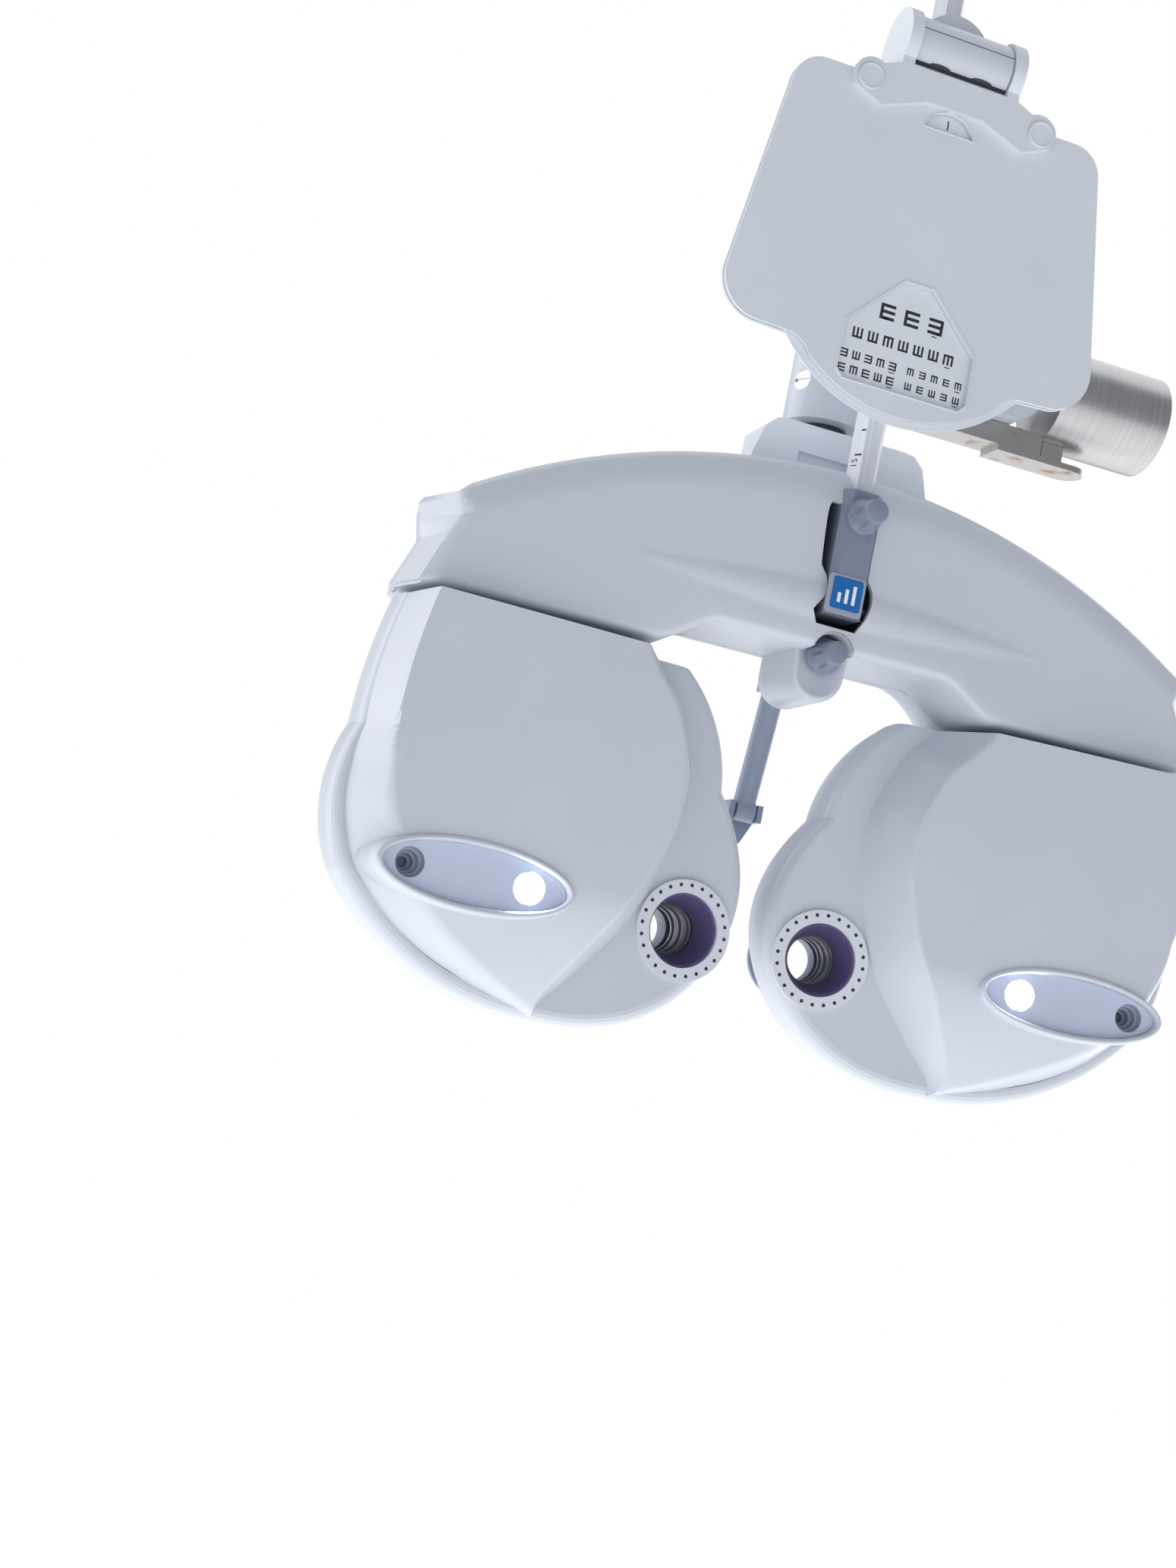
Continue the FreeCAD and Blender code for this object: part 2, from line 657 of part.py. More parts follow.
def body_wire(y, inset=0.0, crown_drop=0.0, shoulder_drop=0.0, end_drop=0.0, lift=0.0):
    """The arch seen from the front: inset moves its ends and floor in, the drops its crown and ends, lift its middle."""
    half = size.body_half_width - inset - end_drop
    floor, arch_floor = size.body_floor + inset, size.arch_floor + inset + lift
    crown, shoulder_z = size.body_top - crown_drop, size.shoulder_z - shoulder_drop
    shoulder_x = half - size.shoulder_inset
    end_points = ((0, 0), (-7.5, 0.475), (-5, 0.8), (-7, 0.87), (-15, 0.92))
    right = [(half + out, floor + up * (shoulder_z - floor)) for out, up in end_points]
    right.append((shoulder_x, shoulder_z))
    left = [(-x, z) for x, z in reversed(right)]
    inner_end, knee, bend = 70 + inset, 46 + inset, 58 + inset
    return flat_wire(
        (inner_end, floor),
        *right,
        ((0, crown), left[0]),
        *left[1:],
        (-inner_end, floor),
        ((-bend, arch_floor - 4), (-knee, arch_floor)),
        (knee, arch_floor),
        ((bend, arch_floor - 4), (inner_end, floor)),
        y=y,
    )


def body_slab(sections, wall=0.0):
    """A stack of arches. A section is a depth, an inset, how far crown, shoulders and ends drop, and a lift."""
    grown = [(y, inset + wall, crown + wall, shoulder + wall, *rest) for y, inset, crown, shoulder, *rest in sections]
    return Part.makeLoft([body_wire(*section) for section in grown], True, True)


def tongue(y_low, y_high, inset=0.0):
    """The tongue under the arch that holds the forehead rest."""
    radius = size.boss_radius - inset
    round_end = rod_shape(radius, y_high - y_low, (0, y_low, size.boss_z))
    return round_end.fuse(box_shape(-radius, radius, y_low, y_high, size.boss_z, size.arch_floor + 3))


def body_front_shell():
    """The operator's side of the arch, with a bevelled crown and the pocket and the notch of the rod's holder."""
    front, split, wall = -size.body_front, size.body_split, size.wall
    face = [(front, 1, 13, 11, 11), (front + 3.5, 0.3, 5, 5, 6.5), (front + 7, 0, 0, 0, 4.5), (-3, 0, 0, 0, 0)]
    face.append((split, 0, 0, 0, 2.5))
    outer = body_slab(face)
    behind = [(y + wall, *drops) for y, *drops in face]
    shell = outer.cut(body_slab(behind, wall))
    pocket_low, pocket_high, floor, half = size.arch_floor + 3, 178, -10.0, 10.5
    lining = box_shape(-half - wall, half + wall, front, floor + wall, pocket_low, pocket_high + wall)
    notch_lining = box_shape(-7 - wall, 7 + wall, front, wall - 15.5, pocket_high - 1, size.body_top)
    shell = shell.fuse([lining.common(outer), notch_lining.common(outer), tongue(-size.boss_front, split)])
    shell = shell.cut(tongue(-size.boss_front + 4, split + 1, wall))
    tools = [
        box_shape(-half, half, front - 5, floor, pocket_low, pocket_high),
        box_shape(-7, 7, front - 5, -15.5, pocket_high - 1, size.body_top + 5),
        box_shape(-size.boss_radius, size.boss_radius, front - 5, -size.boss_front, 110, size.knob_z + 9),
        rod_shape(3.1, 30, (0, -size.boss_front - 5, size.knob_z)),
        rod_shape(size.fold_radius, 40, (-20, -size.rod_y, size.fold_z), Vector(1, 0, 0)),
        cap_opening(),
    ]
    keep(solid_of(shell.cut(tools).removeSplitter()), "body_front_shell", machine_frame())


def rail_ribs(outer):
    """Ribs inside the ends of the arch that hold the guide rails."""
    ribs = []
    for side in SIDES.values():
        x = side * (size.rail_half_length - 2)
        ribs.append(box_shape(x - 2.5, x + 2.5, size.body_split + 0.5, size.body_back - 1, 106, 170).common(outer))
    return ribs


def body_rear_shell():
    """The patient's side of the arch, with the slots that the carriages' studs run in."""
    split, back, wall = size.body_split, size.body_back, size.wall
    shape = [(split, 0, 0, 0, 2.5), (22, 0, 0, 0, 4, 1), (31, 0, 0, 1, 8, 2.5), (back - 8, 1, 3, 3, 13, 4)]
    shape.append((back, 6, 11, 8, 19, 4))
    outer = body_slab(shape)
    ahead = [(y - wall, *drops) for y, *drops in shape]
    shell = outer.cut(body_slab(ahead, wall)).fuse(rail_ribs(outer))
    shell = shell.fuse(tongue(split, size.boss_back)).cut(tongue(split - 1, size.boss_back - wall, wall))
    slot = box_shape(-2.6, 2.6, size.boss_back + 0.2, back - 3, 110, 130)
    tools = [slot, rod_shape(3.1, 30, (0, split - 1, size.knob_z)), cap_opening()]
    for side in SIDES.values():
        x, y = pivot_point(side)
        x_low, x_high = (x - 12, x + 17) if side > 0 else (x - 17, x + 12)
        tools.append(box_shape(x_low, x_high, y - 8.5, y + 8.5, 100, size.body_floor + 2 * wall))
    tools.append(rod_shape(6, 20, (70, back - 15, 140)))
    for z in (size.rail_low, size.rail_high):
        start = (-size.rail_half_length, size.rail_y, z)
        tools.append(rod_shape(size.rail_radius, 2 * size.rail_half_length, start, Vector(1, 0, 0)))
    keep(solid_of(shell.cut(tools).removeSplitter()), "body_rear_shell", machine_frame())


def cap_opening():
    """The opening in the crown that the cap covers."""
    return box_shape(-26, 26, 6, 40, 176, 200)


def top_cap():
    """The cap on the crown: a hollow block that narrows upwards and backwards, with a slot for the swivel's tongue."""
    half, top, front, back = size.cap_half, size.cap_top, 0, size.cap_depth
    outline = [(-half, 180), (-half + 1, 190), (-half + 4.5, top - 5), (-half + 9, top - 0.7), (-half + 14, top)]
    outline += [(-x, z) for x, z in reversed(outline)]
    profile = slab(flat_wire(outline[0], *outline[1:], y=front), back)
    plan = [(-half, front, 0), (-half, 10, 0), (-half + 5, 24, 0), (-half + 16, back, 0)]
    plan += [(-x, y, 0) for x, y, _ in reversed(plan)]
    footprint = Part.Face(Part.makePolygon([Vector(*p) for p in plan + plan[:1]])).extrude(Vector(0, 0, 300))
    outer = profile.common(footprint)
    arch = slab(body_wire(-30), 100)
    inner = box_shape(-20, 20, front + 3, back - 3, 170, top - 3)
    lugs = box_shape(-7, 7, 9, 18, 182, top - 2).fuse(box_shape(-7, 7, 37, 39.7, 182, top - 2))
    slot = box_shape(-7, 7, size.swivel_y - 6, size.swivel_y + 6, 180, top + 5)
    pin_hole = rod_shape(size.level_radius, 40, (0, 5, size.level_z))
    vial = box_shape(-19, 4, front - 2, front + 2.4, 191, 195)
    shape = outer.cut(arch).cut(inner).fuse(lugs).cut([slot, pin_hole, vial])
    keep(solid_of(shape.removeSplitter()), "top_cap", machine_frame())


def guide_rails():
    """Ground steel rods fixed in the body: two guide rails, the level pin and the rod holder's hinge pin."""
    rods = [
        cylinder("rail_radius", "rail_half_length * 2", (-size.rail_half_length, size.rail_y, z), LEFT_TO_RIGHT)
        for z in (size.rail_low, size.rail_high)
    ]
    rods.append(cylinder("level_radius", 30.7, (0, 9, size.level_z), FRONT_TO_BACK))
    rods.append(cylinder("fold_radius", 27, (-13.5, -size.rod_y, size.fold_z), LEFT_TO_RIGHT))
    group = doc.addObject("Part::Compound", "Rods")
    group.Links = rods
    keep(group, "guide_rails", machine_frame())


# ---- hanger --------------------------------------------------------------------------------------------------


def swivel_collar():
    """The collar between block and cap: a stub that turns in the block and a tongue that tilts on the level pin."""
    x, y, low = 0, size.swivel_y, size.block_low
    disc = cylinder("swivel_radius", 3.2, (x, y, low - 3.5))
    stub = cylinder(7, 20, (x, y, low - 3.5))
    tongue_plate = centred_box(12, 10, 24, x, y, low - 15)
    hole = cylinder("level_radius + running_gap", 30, (x, y - 15, size.level_z), FRONT_TO_BACK)
    keep(cut(fuse(disc, stub, tongue_plate), hole), "swivel_collar", machine_frame())


def hanger_block():
    """The block that hangs from the mounting bar: a round hub on the swivel and an arm that runs over the bar."""
    low, high, radius, nose = size.block_low, size.block_low + size.block_height, size.block_radius, size.block_reach
    under = size.bar_top + 0.3
    body = new_body()
    sketch = new_sketch(body, "XZ_Plane")
    outline = flat_wire(
        (0, under),
        (nose - 12, under),
        ((nose - 4, under + 3.5), (nose - 0.5, under + 11)),
        (nose, high - 8),
        (nose - 8, high),
        (0, high),
        y=0,
    )
    flat = outline.copy()
    flat.rotate(Vector(0, 0, 0), Vector(1, 0, 0), -90)
    sketch_loop(sketch, flat)
    pad(body, sketch, "block_radius * 2", backwards=True)
    body.Placement = Placement(Vector(0, size.swivel_y - radius, 0), Rotation())
    hub = cylinder("block_radius", "block_height", (0, size.swivel_y, low))
    stub_bore = cylinder(7 + size.running_gap, 24, (0, size.swivel_y, low - 5))
    bar_slot = box(80, 16.4, size.bar_thickness + 0.4, (8.8, size.socket_y - 8.2, size.bar_top - size.bar_thickness - 0.2))
    screw_bore = hub_screw(cylinder(4.2, 10, (0, 0, -1)))
    keep(cut(fuse(body, hub), stub_bore, bar_slot, screw_bore), "hanger_block", machine_frame())


def hub_screw(obj):
    """Puts a part of the hub's screw, built upwards from the origin, in its place on the hub's left side."""
    around = Rotation(Vector(0, 0, 1), -65)
    outwards = around.multVec(Vector(0, -size.block_radius, 0))
    place = Placement(Vector(0, size.swivel_y, 231) + outwards, around * FRONT_TO_BACK)
    obj.Placement = place * obj.Placement
    return obj


def mounting_bar():
    """The flat steel bar from the block to the sleeve, with a thin foot whose tongue stands in the sleeve's slot."""
    y, low = size.socket_y, size.bar_top - size.bar_thickness
    sleeve_end = size.socket_x - size.socket_length
    bar = box(sleeve_end - 9.3, 16, size.bar_thickness, (9, y - 8, low))
    foot = fuse(box(36, 16, 2.5, (sleeve_end - 20, y - 8, low - 2.5)), cylinder(8, 2.5, (sleeve_end + 16, y, low - 2.5)))
    tongue_plate = box(10, 12, 13, (sleeve_end + 1, y - 6, low - 0.5))
    keep(fuse(bar, foot, tongue_plate), "mounting_bar", machine_frame())


def arm_sleeve():
    """The sleeve whose bore takes the stand's arm, with a slot underneath for the bar's tongue."""
    length, depth = size.socket_length, size.socket_depth
    x, y, z = size.socket_x, size.socket_y, size.socket_z
    outer = cylinder("socket_outer", "socket_length", (x - length, y, z), LEFT_TO_RIGHT)
    bore = cylinder("socket_bore", "socket_depth + 1", (x - depth, y, z), LEFT_TO_RIGHT)
    slot = box(10.6, 12.6, 20, (x - length + 0.7, y - 6.3, 222.3))
    keep(cut(outer, bore, slot), "arm_sleeve", machine_frame())


def hanger_screw():
    """The slotted screw in the hub, which stops the swivel's turn."""
    face = cylinder(4.2, 8.5, (0, 0, 0.3))
    slot = box(9, 1.4, 1, (-4.5, -0.7, 0.2))
    keep(hub_screw(cut(face, slot)), "hanger_screw", machine_frame())


# ---- near-point rod ------------------------------------------------------------------------------------------


def hexagon(sketch, flats):
    """A hexagon with flats facing front and back."""
    corner = flats / math.sqrt(3)
    points = [Vector(corner * math.cos(i * math.pi / 3), corner * math.sin(i * math.pi / 3), 0) for i in range(6)]
    for i in range(6):
        sketch.addGeometry(Part.LineSegment(points[i], points[(i + 1) % 6]), False)


def hex_bar(flats, length, at):
    body = new_body()
    sketch = new_sketch(body, "XY_Plane")
    hexagon(sketch, flats)
    pad(body, sketch, length)
    body.Placement = Placement(Vector(*at), Rotation())
    return body


def near_rod():
    rod = hex_bar(size.rod_flats, "rod_top - rod_low", (0, -size.rod_y, size.rod_low))
    keep(rod, "near_rod", machine_frame())


def rod_holder():
    """The folding socket of the rod, with a bore for its hinge and one for the clamping knob."""
    half, front, back = size.holder_half, size.holder_front, size.holder_back
    body = new_body()
    sketch = new_sketch(body, "XY_Plane")
    chamfer = 3
    outline = [(-half + chamfer, -front), (half - chamfer, -front), (half, -front + chamfer)]
    outline += [(half, -back), (-half, -back), (-half, -front + chamfer)]
    for here, there in zip(outline, outline[1:] + outline[:1]):
        sketch.addGeometry(Part.LineSegment(Vector(*here, 0), Vector(*there, 0)), False)
    pad(body, sketch, "holder_top - holder_low")
    body.Placement = Placement(Vector(0, 0, size.holder_low), Rotation())
    socket = hex_bar(size.rod_flats + 0.1, 30, (0, -size.rod_y, size.rod_low))
    hinge = cylinder("fold_radius + running_gap", 30, (-15, -size.rod_y, size.fold_z), LEFT_TO_RIGHT)
    clamp = cylinder(2 + size.running_gap, 10, (0, -size.holder_front - 2, size.rod_knob_z), FRONT_TO_BACK)
    keep(cut(body, socket, hinge, clamp), "rod_holder", machine_frame())


def fluted_knob(tip_y, z, stem_length, stem_radius):
    """A tapered knob with six flutes and a stem, its axis along Y."""
    body = new_body()
    sketch = new_sketch(body, "XY_Plane")
    base, tip, length = size.knob_base, size.knob_tip, size.knob_length
    points = [(0, 0), (tip - 0.6, 0), (tip, 0.6), (base - 0.4, length - 3), (base, length - 2), (base, length)]
    points += [(stem_radius, length), (stem_radius, length + stem_length), (0, length + stem_length)]
    for here, there in zip(points, points[1:] + points[:1]):
        sketch.addGeometry(Part.LineSegment(Vector(*here, 0), Vector(*there, 0)), False)
    turned = body.newObject("PartDesign::Revolution", "Revolution")
    turned.Profile = sketch
    turned.ReferenceAxis = (sketch, ["V_Axis"])
    turned.Angle = 360
    flute = new_sketch(body, "XZ_Plane")
    flute.addGeometry(Part.Circle(Vector(base + 0.6, 0, 0), Vector(0, 0, 1), 1.9), False)
    flute.AttachmentOffset = Placement(Vector(0, 0, -2.2), Rotation())
    groove = pocket(body, flute, "knob_length - 5.5")
    polar(body, groove, "Y_Axis", 6)
    body.Placement = Placement(Vector(0, tip_y, z), Rotation())
    return body


def knobs():
    rod_knob_tip = -size.holder_front - 0.3 - size.knob_length
    wall_to_rod = size.holder_front - size.rod_y - size.rod_flats / 2
    keep(fluted_knob(rod_knob_tip, size.rod_knob_z, wall_to_rod, 2), "rod_knob", machine_frame())
    knob_tip = -size.boss_front - 0.3 - size.knob_length
    keep(fluted_knob(knob_tip, size.knob_z, 47, 2.5), "forehead_knob", machine_frame())


# ---- near-point chart ----------------------------------------------------------------------------------------


def plate_wire(y):
    """Outline of a chart plate: a trapezium with round corners over a round chin."""
    top, low, middle, chin = size.plate_top, size.plate_low, size.chart_z, size.chin_radius
    chin_x = 38.5
    chin_z = middle - math.sqrt(chin**2 - chin_x**2)
    return flat_wire(
        (-54, top),
        (54, top),
        ((62, top - 3.3), (65.8, top - 11)),
        (77.3, low + 17),
        ((73, low + 5), (62, low)),
        (50, low - 0.5),
        ((43.5, low - 2.2), (chin_x, chin_z)),
        ((0, middle - chin), (-chin_x, chin_z)),
        ((-43.5, low - 2.2), (-50, low - 0.5)),
        (-62, low),
        ((-73, low + 5), (-77.3, low + 17)),
        (-65.8, top - 11),
        ((-62, top - 3.3), (-54, top)),
        y=y,
    )


def window_wire(y):
    """The five-sided window over the chart."""
    low, side, shoulder, apex = 213, 27, 235, 256
    right = [(6, apex), (side, shoulder), (side, low + 3), ((side - 0.9, low + 0.9), (side - 3, low))]
    left = [(-side + 3, low), ((-side + 0.9, low + 0.9), (-side, low + 3)), (-side, shoulder), (-6, apex)]
    return flat_wire(left[-1], *right, *left[:-1], y=y)


def number_window_wire(y):
    """The small segment-shaped window that shows the chart's number."""
    return flat_wire((-10.5, 318), ((0, 325.5), (10.5, 318)), y=y)


def chart_plate(front, label, bearing):
    """A chart plate; the rear one carries the stub that the disc turns on."""
    thickness = size.plate_thickness
    shape = slab(plate_wire(front), thickness)
    shape = shape.cut([slab(window_wire(front - 1), 4), slab(number_window_wire(front - 1), 4)])
    if bearing:
        reach = size.card_thickness + size.chart_gap
        shape = shape.fuse(rod_shape(3, reach + 1, (0, front - reach, size.chart_z)))
    keep(solid_of(shape.removeSplitter()), label, machine_frame())


def chart():
    front = -size.chart_front
    card = front + size.plate_thickness + size.chart_gap
    rear = card + size.card_thickness + size.chart_gap
    chart_plate(front, "chart_front_plate", False)
    chart_plate(rear, "chart_back_plate", True)
    disc = cylinder("card_radius", "card_thickness", (0, card, size.chart_z), FRONT_TO_BACK)
    hole = cylinder(3 + size.running_gap, 5, (0, card - 1, size.chart_z), FRONT_TO_BACK)
    keep(cut(disc, hole), "chart_disc", machine_frame())


FOOT_START = (-42, 324)
FOOT_STEPS = (
    ((-41, 334), (-32, 335)),
    (-24, 338.4),
    (24, 338.4),
    (32, 335),
    ((41, 334), (42, 324)),
    (30, 319),
    (12, 326),
    (-12, 326),
    (-30, 319),
)


def chart_bracket():
    """The yoke on the front plate: a foot with two round caps and two cheeks that hold the hinge pin."""
    front = -size.chart_front
    foot = slab(flat_wire(FOOT_START, *FOOT_STEPS, y=front - 3), 3)
    y, z = -size.barrel_y, size.barrel_z
    cheeks = []
    for side in SIDES.values():
        x = 20 if side > 0 else -25
        cheek = rod_shape(size.barrel_radius + 1.5, 5, (x, y, z), Vector(1, 0, 0))
        cheeks.append(cheek.fuse(box_shape(x, x + 5, front - 3, y + 2, size.plate_top + 0.3, z)))
    pin = rod_shape(3, 44, (-22, y, z), Vector(1, 0, 0))
    caps = [rod_shape(5, 3.8, (x, front - 3.8, 328), Vector(0, 1, 0)) for x in (-36.5, 36.5)]
    shape = foot.fuse(cheeks + caps + [pin]).removeSplitter()
    keep(solid_of(shape), "chart_bracket", machine_frame())


def chart_carrier():
    """The slider on the rod: a round body, and the barrel that the bracket tilts on."""
    z, y = size.barrel_z, -size.barrel_y
    barrel = cylinder("barrel_radius", "barrel_half * 2", (-size.barrel_half, y, z), LEFT_TO_RIGHT)
    rear = cylinder("barrel_radius + 3", 23, (0, -36, z + 5), FRONT_TO_BACK)
    pin_bore = cylinder(3 + size.running_gap, "barrel_half * 3", (-1.5 * size.barrel_half, y, z), LEFT_TO_RIGHT)
    rod_hole = hex_bar(size.rod_flats + 0.1, 60, (0, -size.rod_y, z - 25))
    keep(cut(fuse(barrel, rear), pin_bore, rod_hole), "chart_carrier", machine_frame())


# ---- forehead rest -------------------------------------------------------------------------------------------


def forehead_arm():
    """The slider that the knob's screw moves, held in a slot of the arch's floor, and the bent arm under it."""
    slider = box_shape(-5, 5, 22, 34, 103.5, 114.7)
    neck = box_shape(-2.3, 2.3, 22, 34, 114, 124.5)
    slider = slider.fuse(neck).cut(rod_shape(2.55, 40, (0, 0, size.knob_z)))
    path = Part.Wire([Part.Arc(Vector(0, 27, 106), Vector(0, 32, 81), Vector(0, 37, 57)).toShape()])
    section = Part.Wire(Part.Ellipse(Vector(0, 27, 106), 4.7, 4).toShape())
    pin_bore = rod_shape(2.05, 20, (-10, 37, 55), Vector(1, 0, 0))
    arm = path.makePipeShell([section], True, True)
    knuckle = rod_shape(4.6, 8, (-4, 37, 55), Vector(1, 0, 0))
    shape = slider.fuse(arm.cut(pin_bore)).fuse(knuckle.cut(pin_bore))
    keep(solid_of(shape.removeSplitter()), "forehead_arm", machine_frame())


def forehead_pad():
    """The rest itself: a narrow shield on a fork with its pin."""
    outline = flat_wire((-7.5, 57), (-7.5, 52), (-3, 42.5), ((0, 41), (3, 42.5)), (7.5, 52), (7.5, 57), y=42)
    shield = slab(outline, 5)
    fork = [box_shape(x, x + 2.2, 33, 44, 51, 58) for x in (-7.2, 5)]
    pin = rod_shape(2, 14.4, (-7.2, 37, 55), Vector(1, 0, 0))
    shape = shield.fuse(fork + [pin]).removeSplitter()
    keep(solid_of(shape), "forehead_pad", machine_frame())


# ---- build, check, write -------------------------------------------------------------------------------------


def build():
    for side in SIDES.values():
        make_head(side)
    for piece in (
        body_front_shell, body_rear_shell, top_cap, guide_rails, swivel_collar, hanger_block, mounting_bar,
        arm_sleeve, hanger_screw, near_rod, rod_holder, knobs, chart, chart_bracket, chart_carrier,
        forehead_arm, forehead_pad,
    ):
        piece()
    doc.recompute()


def check():
    failed = [o.Label for o in doc.Objects if {"Invalid", "Error"} & set(o.State)]
    for part in subparts:
        shape = part.Shape
        if shape.isNull() or not shape.isValid() or not shape.Solids:
            failed.append(part.Label)
    if failed:
        raise SystemExit("failed: " + ", ".join(failed))


def write():
    os.makedirs("parts", exist_ok=True)
    for part in subparts:
        part.Shape.exportStep(f"parts/{part.Label}.step")


build()
check()
write()
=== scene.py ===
import json
import math

import bmesh
import bpy
from mathutils import Matrix, Vector


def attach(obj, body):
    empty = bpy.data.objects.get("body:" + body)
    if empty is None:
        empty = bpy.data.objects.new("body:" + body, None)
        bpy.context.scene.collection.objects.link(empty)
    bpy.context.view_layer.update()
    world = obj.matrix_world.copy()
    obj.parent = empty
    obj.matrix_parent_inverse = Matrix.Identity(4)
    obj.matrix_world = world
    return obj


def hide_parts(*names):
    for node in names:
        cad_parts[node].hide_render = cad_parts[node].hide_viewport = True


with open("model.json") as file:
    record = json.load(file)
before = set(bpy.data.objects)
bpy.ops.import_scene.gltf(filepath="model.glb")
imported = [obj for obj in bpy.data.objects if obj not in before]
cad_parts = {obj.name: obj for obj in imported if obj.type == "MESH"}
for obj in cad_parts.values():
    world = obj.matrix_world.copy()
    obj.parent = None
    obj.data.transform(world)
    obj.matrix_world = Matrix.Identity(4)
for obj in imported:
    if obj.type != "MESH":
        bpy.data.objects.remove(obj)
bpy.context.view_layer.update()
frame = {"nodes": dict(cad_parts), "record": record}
nodes = frame["nodes"]

MM = 0.001
# an edge is drawn sharp where its faces turn by more than this many degrees
SKIN_SHARP, CUT_SHARP, CAD_SHARP = 35, 32, 28
SOCKET = Vector((146, 30, 257))  # the row's origin in the machine frame, whose origin is on the eye line
TOE_IN = math.radians(5.5)
EYE_X = 29.1
HEAD_TOP = 99.2
SIDES = {"right": 1, "left": -1}


# ---- frames ---------------------------------------------------------------------------------------------


def machine(x, y, z):
    """A point of the machine frame, in mm, as a point of the row frame, in metres."""
    return (Vector((x, y, z)) - SOCKET) * MM


def head_point(side, u, v, w):
    """A point of a head's frame (outwards, backwards, upwards), in mm, as a point of the row frame."""
    x = EYE_X + u * math.cos(TOE_IN) + v * math.sin(TOE_IN)
    y = -u * math.sin(TOE_IN) + v * math.cos(TOE_IN)
    return machine(side * x, y, w)


# ---- numbers and curves ---------------------------------------------------------------------------------


def between(x, knots):
    """Straight lines through knots, a list of (x, value)."""
    if x <= knots[0][0]:
        return knots[0][1]
    for (x0, y0), (x1, y1) in zip(knots, knots[1:]):
        if x <= x1:
            return y0 + (y1 - y0) * (x - x0) / (x1 - x0)
    return knots[-1][1]


def smooth_step(x, low, high):
    """0 below low, 1 above high, and a soft rise between them."""
    t = min(max((x - low) / (high - low), 0), 1)
    return t * t * (3 - 2 * t)


def soft_min(a, b, width):
    """The smaller of a and b, with the corner between them rounded over width."""
    blend = max(width - abs(a - b), 0) / width
    return min(a, b) - blend * blend * width / 4


def arc_points(a, b, c, count):
    """Points on the circle through a, b and c, from a to c."""
    ax, ay, bx, by, cx, cy = *a, *b, *c
    d = 2 * (ax * (by - cy) + bx * (cy - ay) + cx * (ay - by))
    ux = ((ax**2 + ay**2) * (by - cy) + (bx**2 + by**2) * (cy - ay) + (cx**2 + cy**2) * (ay - by)) / d
    uy = ((ax**2 + ay**2) * (cx - bx) + (bx**2 + by**2) * (ax - cx) + (cx**2 + cy**2) * (bx - ax)) / d
    radius = math.hypot(ax - ux, ay - uy)
    start, middle, end = (math.atan2(p[1] - uy, p[0] - ux) for p in (a, b, c))
    sweep = (end - start) % (2 * math.pi)
    if (middle - start) % (2 * math.pi) > sweep:
        sweep -= 2 * math.pi
    turns = [start + sweep * i / count for i in range(count + 1)]
    return [(ux + radius * math.cos(t), uy + radius * math.sin(t)) for t in turns]


def spline_value(a, b, c, d, t):
    """The value a share t of the way from b to c, on a smooth curve through a, b, c and d."""
    bend = 2 * a - 5 * b + 4 * c - d
    twist = 3 * b - a - 3 * c + d
    return 0.5 * (2 * b + (c - a) * t + bend * t**2 + twist * t**3)


def curve_points(points, per_span):
    """A smooth curve through points."""
    padded = [points[0]] + list(points) + [points[-1]]
    made = []
    for p0, p1, p2, p3 in zip(padded, padded[1:], padded[2:], padded[3:]):
        for i in range(per_span):
            t = i / per_span
            made.append(tuple(spline_value(*values, t) for values in zip(p0, p1, p2, p3)))
    return made + [tuple(points[-1])]


def full_turn(count):
    """Angles evenly round a circle."""
    return [2 * math.pi * i / count for i in range(count)]


def distance_to(point, line):
    """Distance from a point to a line of points, in the plane."""
    px, py = point
    best = 1e9
    for (ax, ay), (bx, by) in zip(line, line[1:]):
        dx, dy = bx - ax, by - ay
        t = ((px - ax) * dx + (py - ay) * dy) / (dx * dx + dy * dy + 1e-12)
        t = min(max(t, 0), 1)
        best = min(best, math.hypot(px - ax - t * dx, py - ay - t * dy))
    return best


# ---- meshes ---------------------------------------------------------------------------------------------


def mesh_piece(name, points, faces, material, sharp=SKIN_SHARP):
    """A smooth-shaded mesh from points and faces."""
    mesh = bpy.data.meshes.new(name)
    mesh.from_pydata([tuple(p) for p in points], [], faces)
    mesh.validate()
    bm = bmesh.new()
    bm.from_mesh(mesh)
    bmesh.ops.remove_doubles(bm, verts=bm.verts, dist=1e-6)
    bmesh.ops.recalc_face_normals(bm, faces=bm.faces)
    bm.to_mesh(mesh)
    bm.free()
    mesh.shade_smooth()
    mesh.set_sharp_from_angle(angle=math.radians(sharp))
    piece = bpy.data.objects.new(name, mesh)
    bpy.context.scene.collection.objects.link(piece)
    piece.data.materials.append(material)
    return piece


def loft(name, rings, material, closed=True, cap_first=False, cap_last=False, sharp=SKIN_SHARP):
    """A skin over rings of points."""
    count = len(rings[0])
    points = [p for ring in rings for p in ring]
    faces = []
    for r in range(len(rings) - 1):
        for i in range(count if closed else count - 1):
            j = (i + 1) % count
            faces.append((r * count + i, r * count + j, (r + 1) * count + j, (r + 1) * count + i))
    if cap_first:
        faces.append(tuple(range(count)))
    if cap_last:
        faces.append(tuple((len(rings) - 1) * count + i for i in range(count)))
    return mesh_piece(name, points, faces, material, sharp)


def prism(name, outline, place, low, high, material):
    """A solid with a flat outline; place turns (a, b, depth) into a point."""
    rings = [[place(a, b, depth) for a, b in outline] for depth in (low, high)]
    return loft(name, rings, material, cap_first=True, cap_last=True)


def apply_modifiers(piece):
    """Turns a piece's modifiers into its mesh."""
    depsgraph = bpy.context.evaluated_depsgraph_get()
    mesh = bpy.data.meshes.new_from_object(piece.evaluated_get(depsgraph))
    piece.modifiers.clear()
    piece.data = mesh


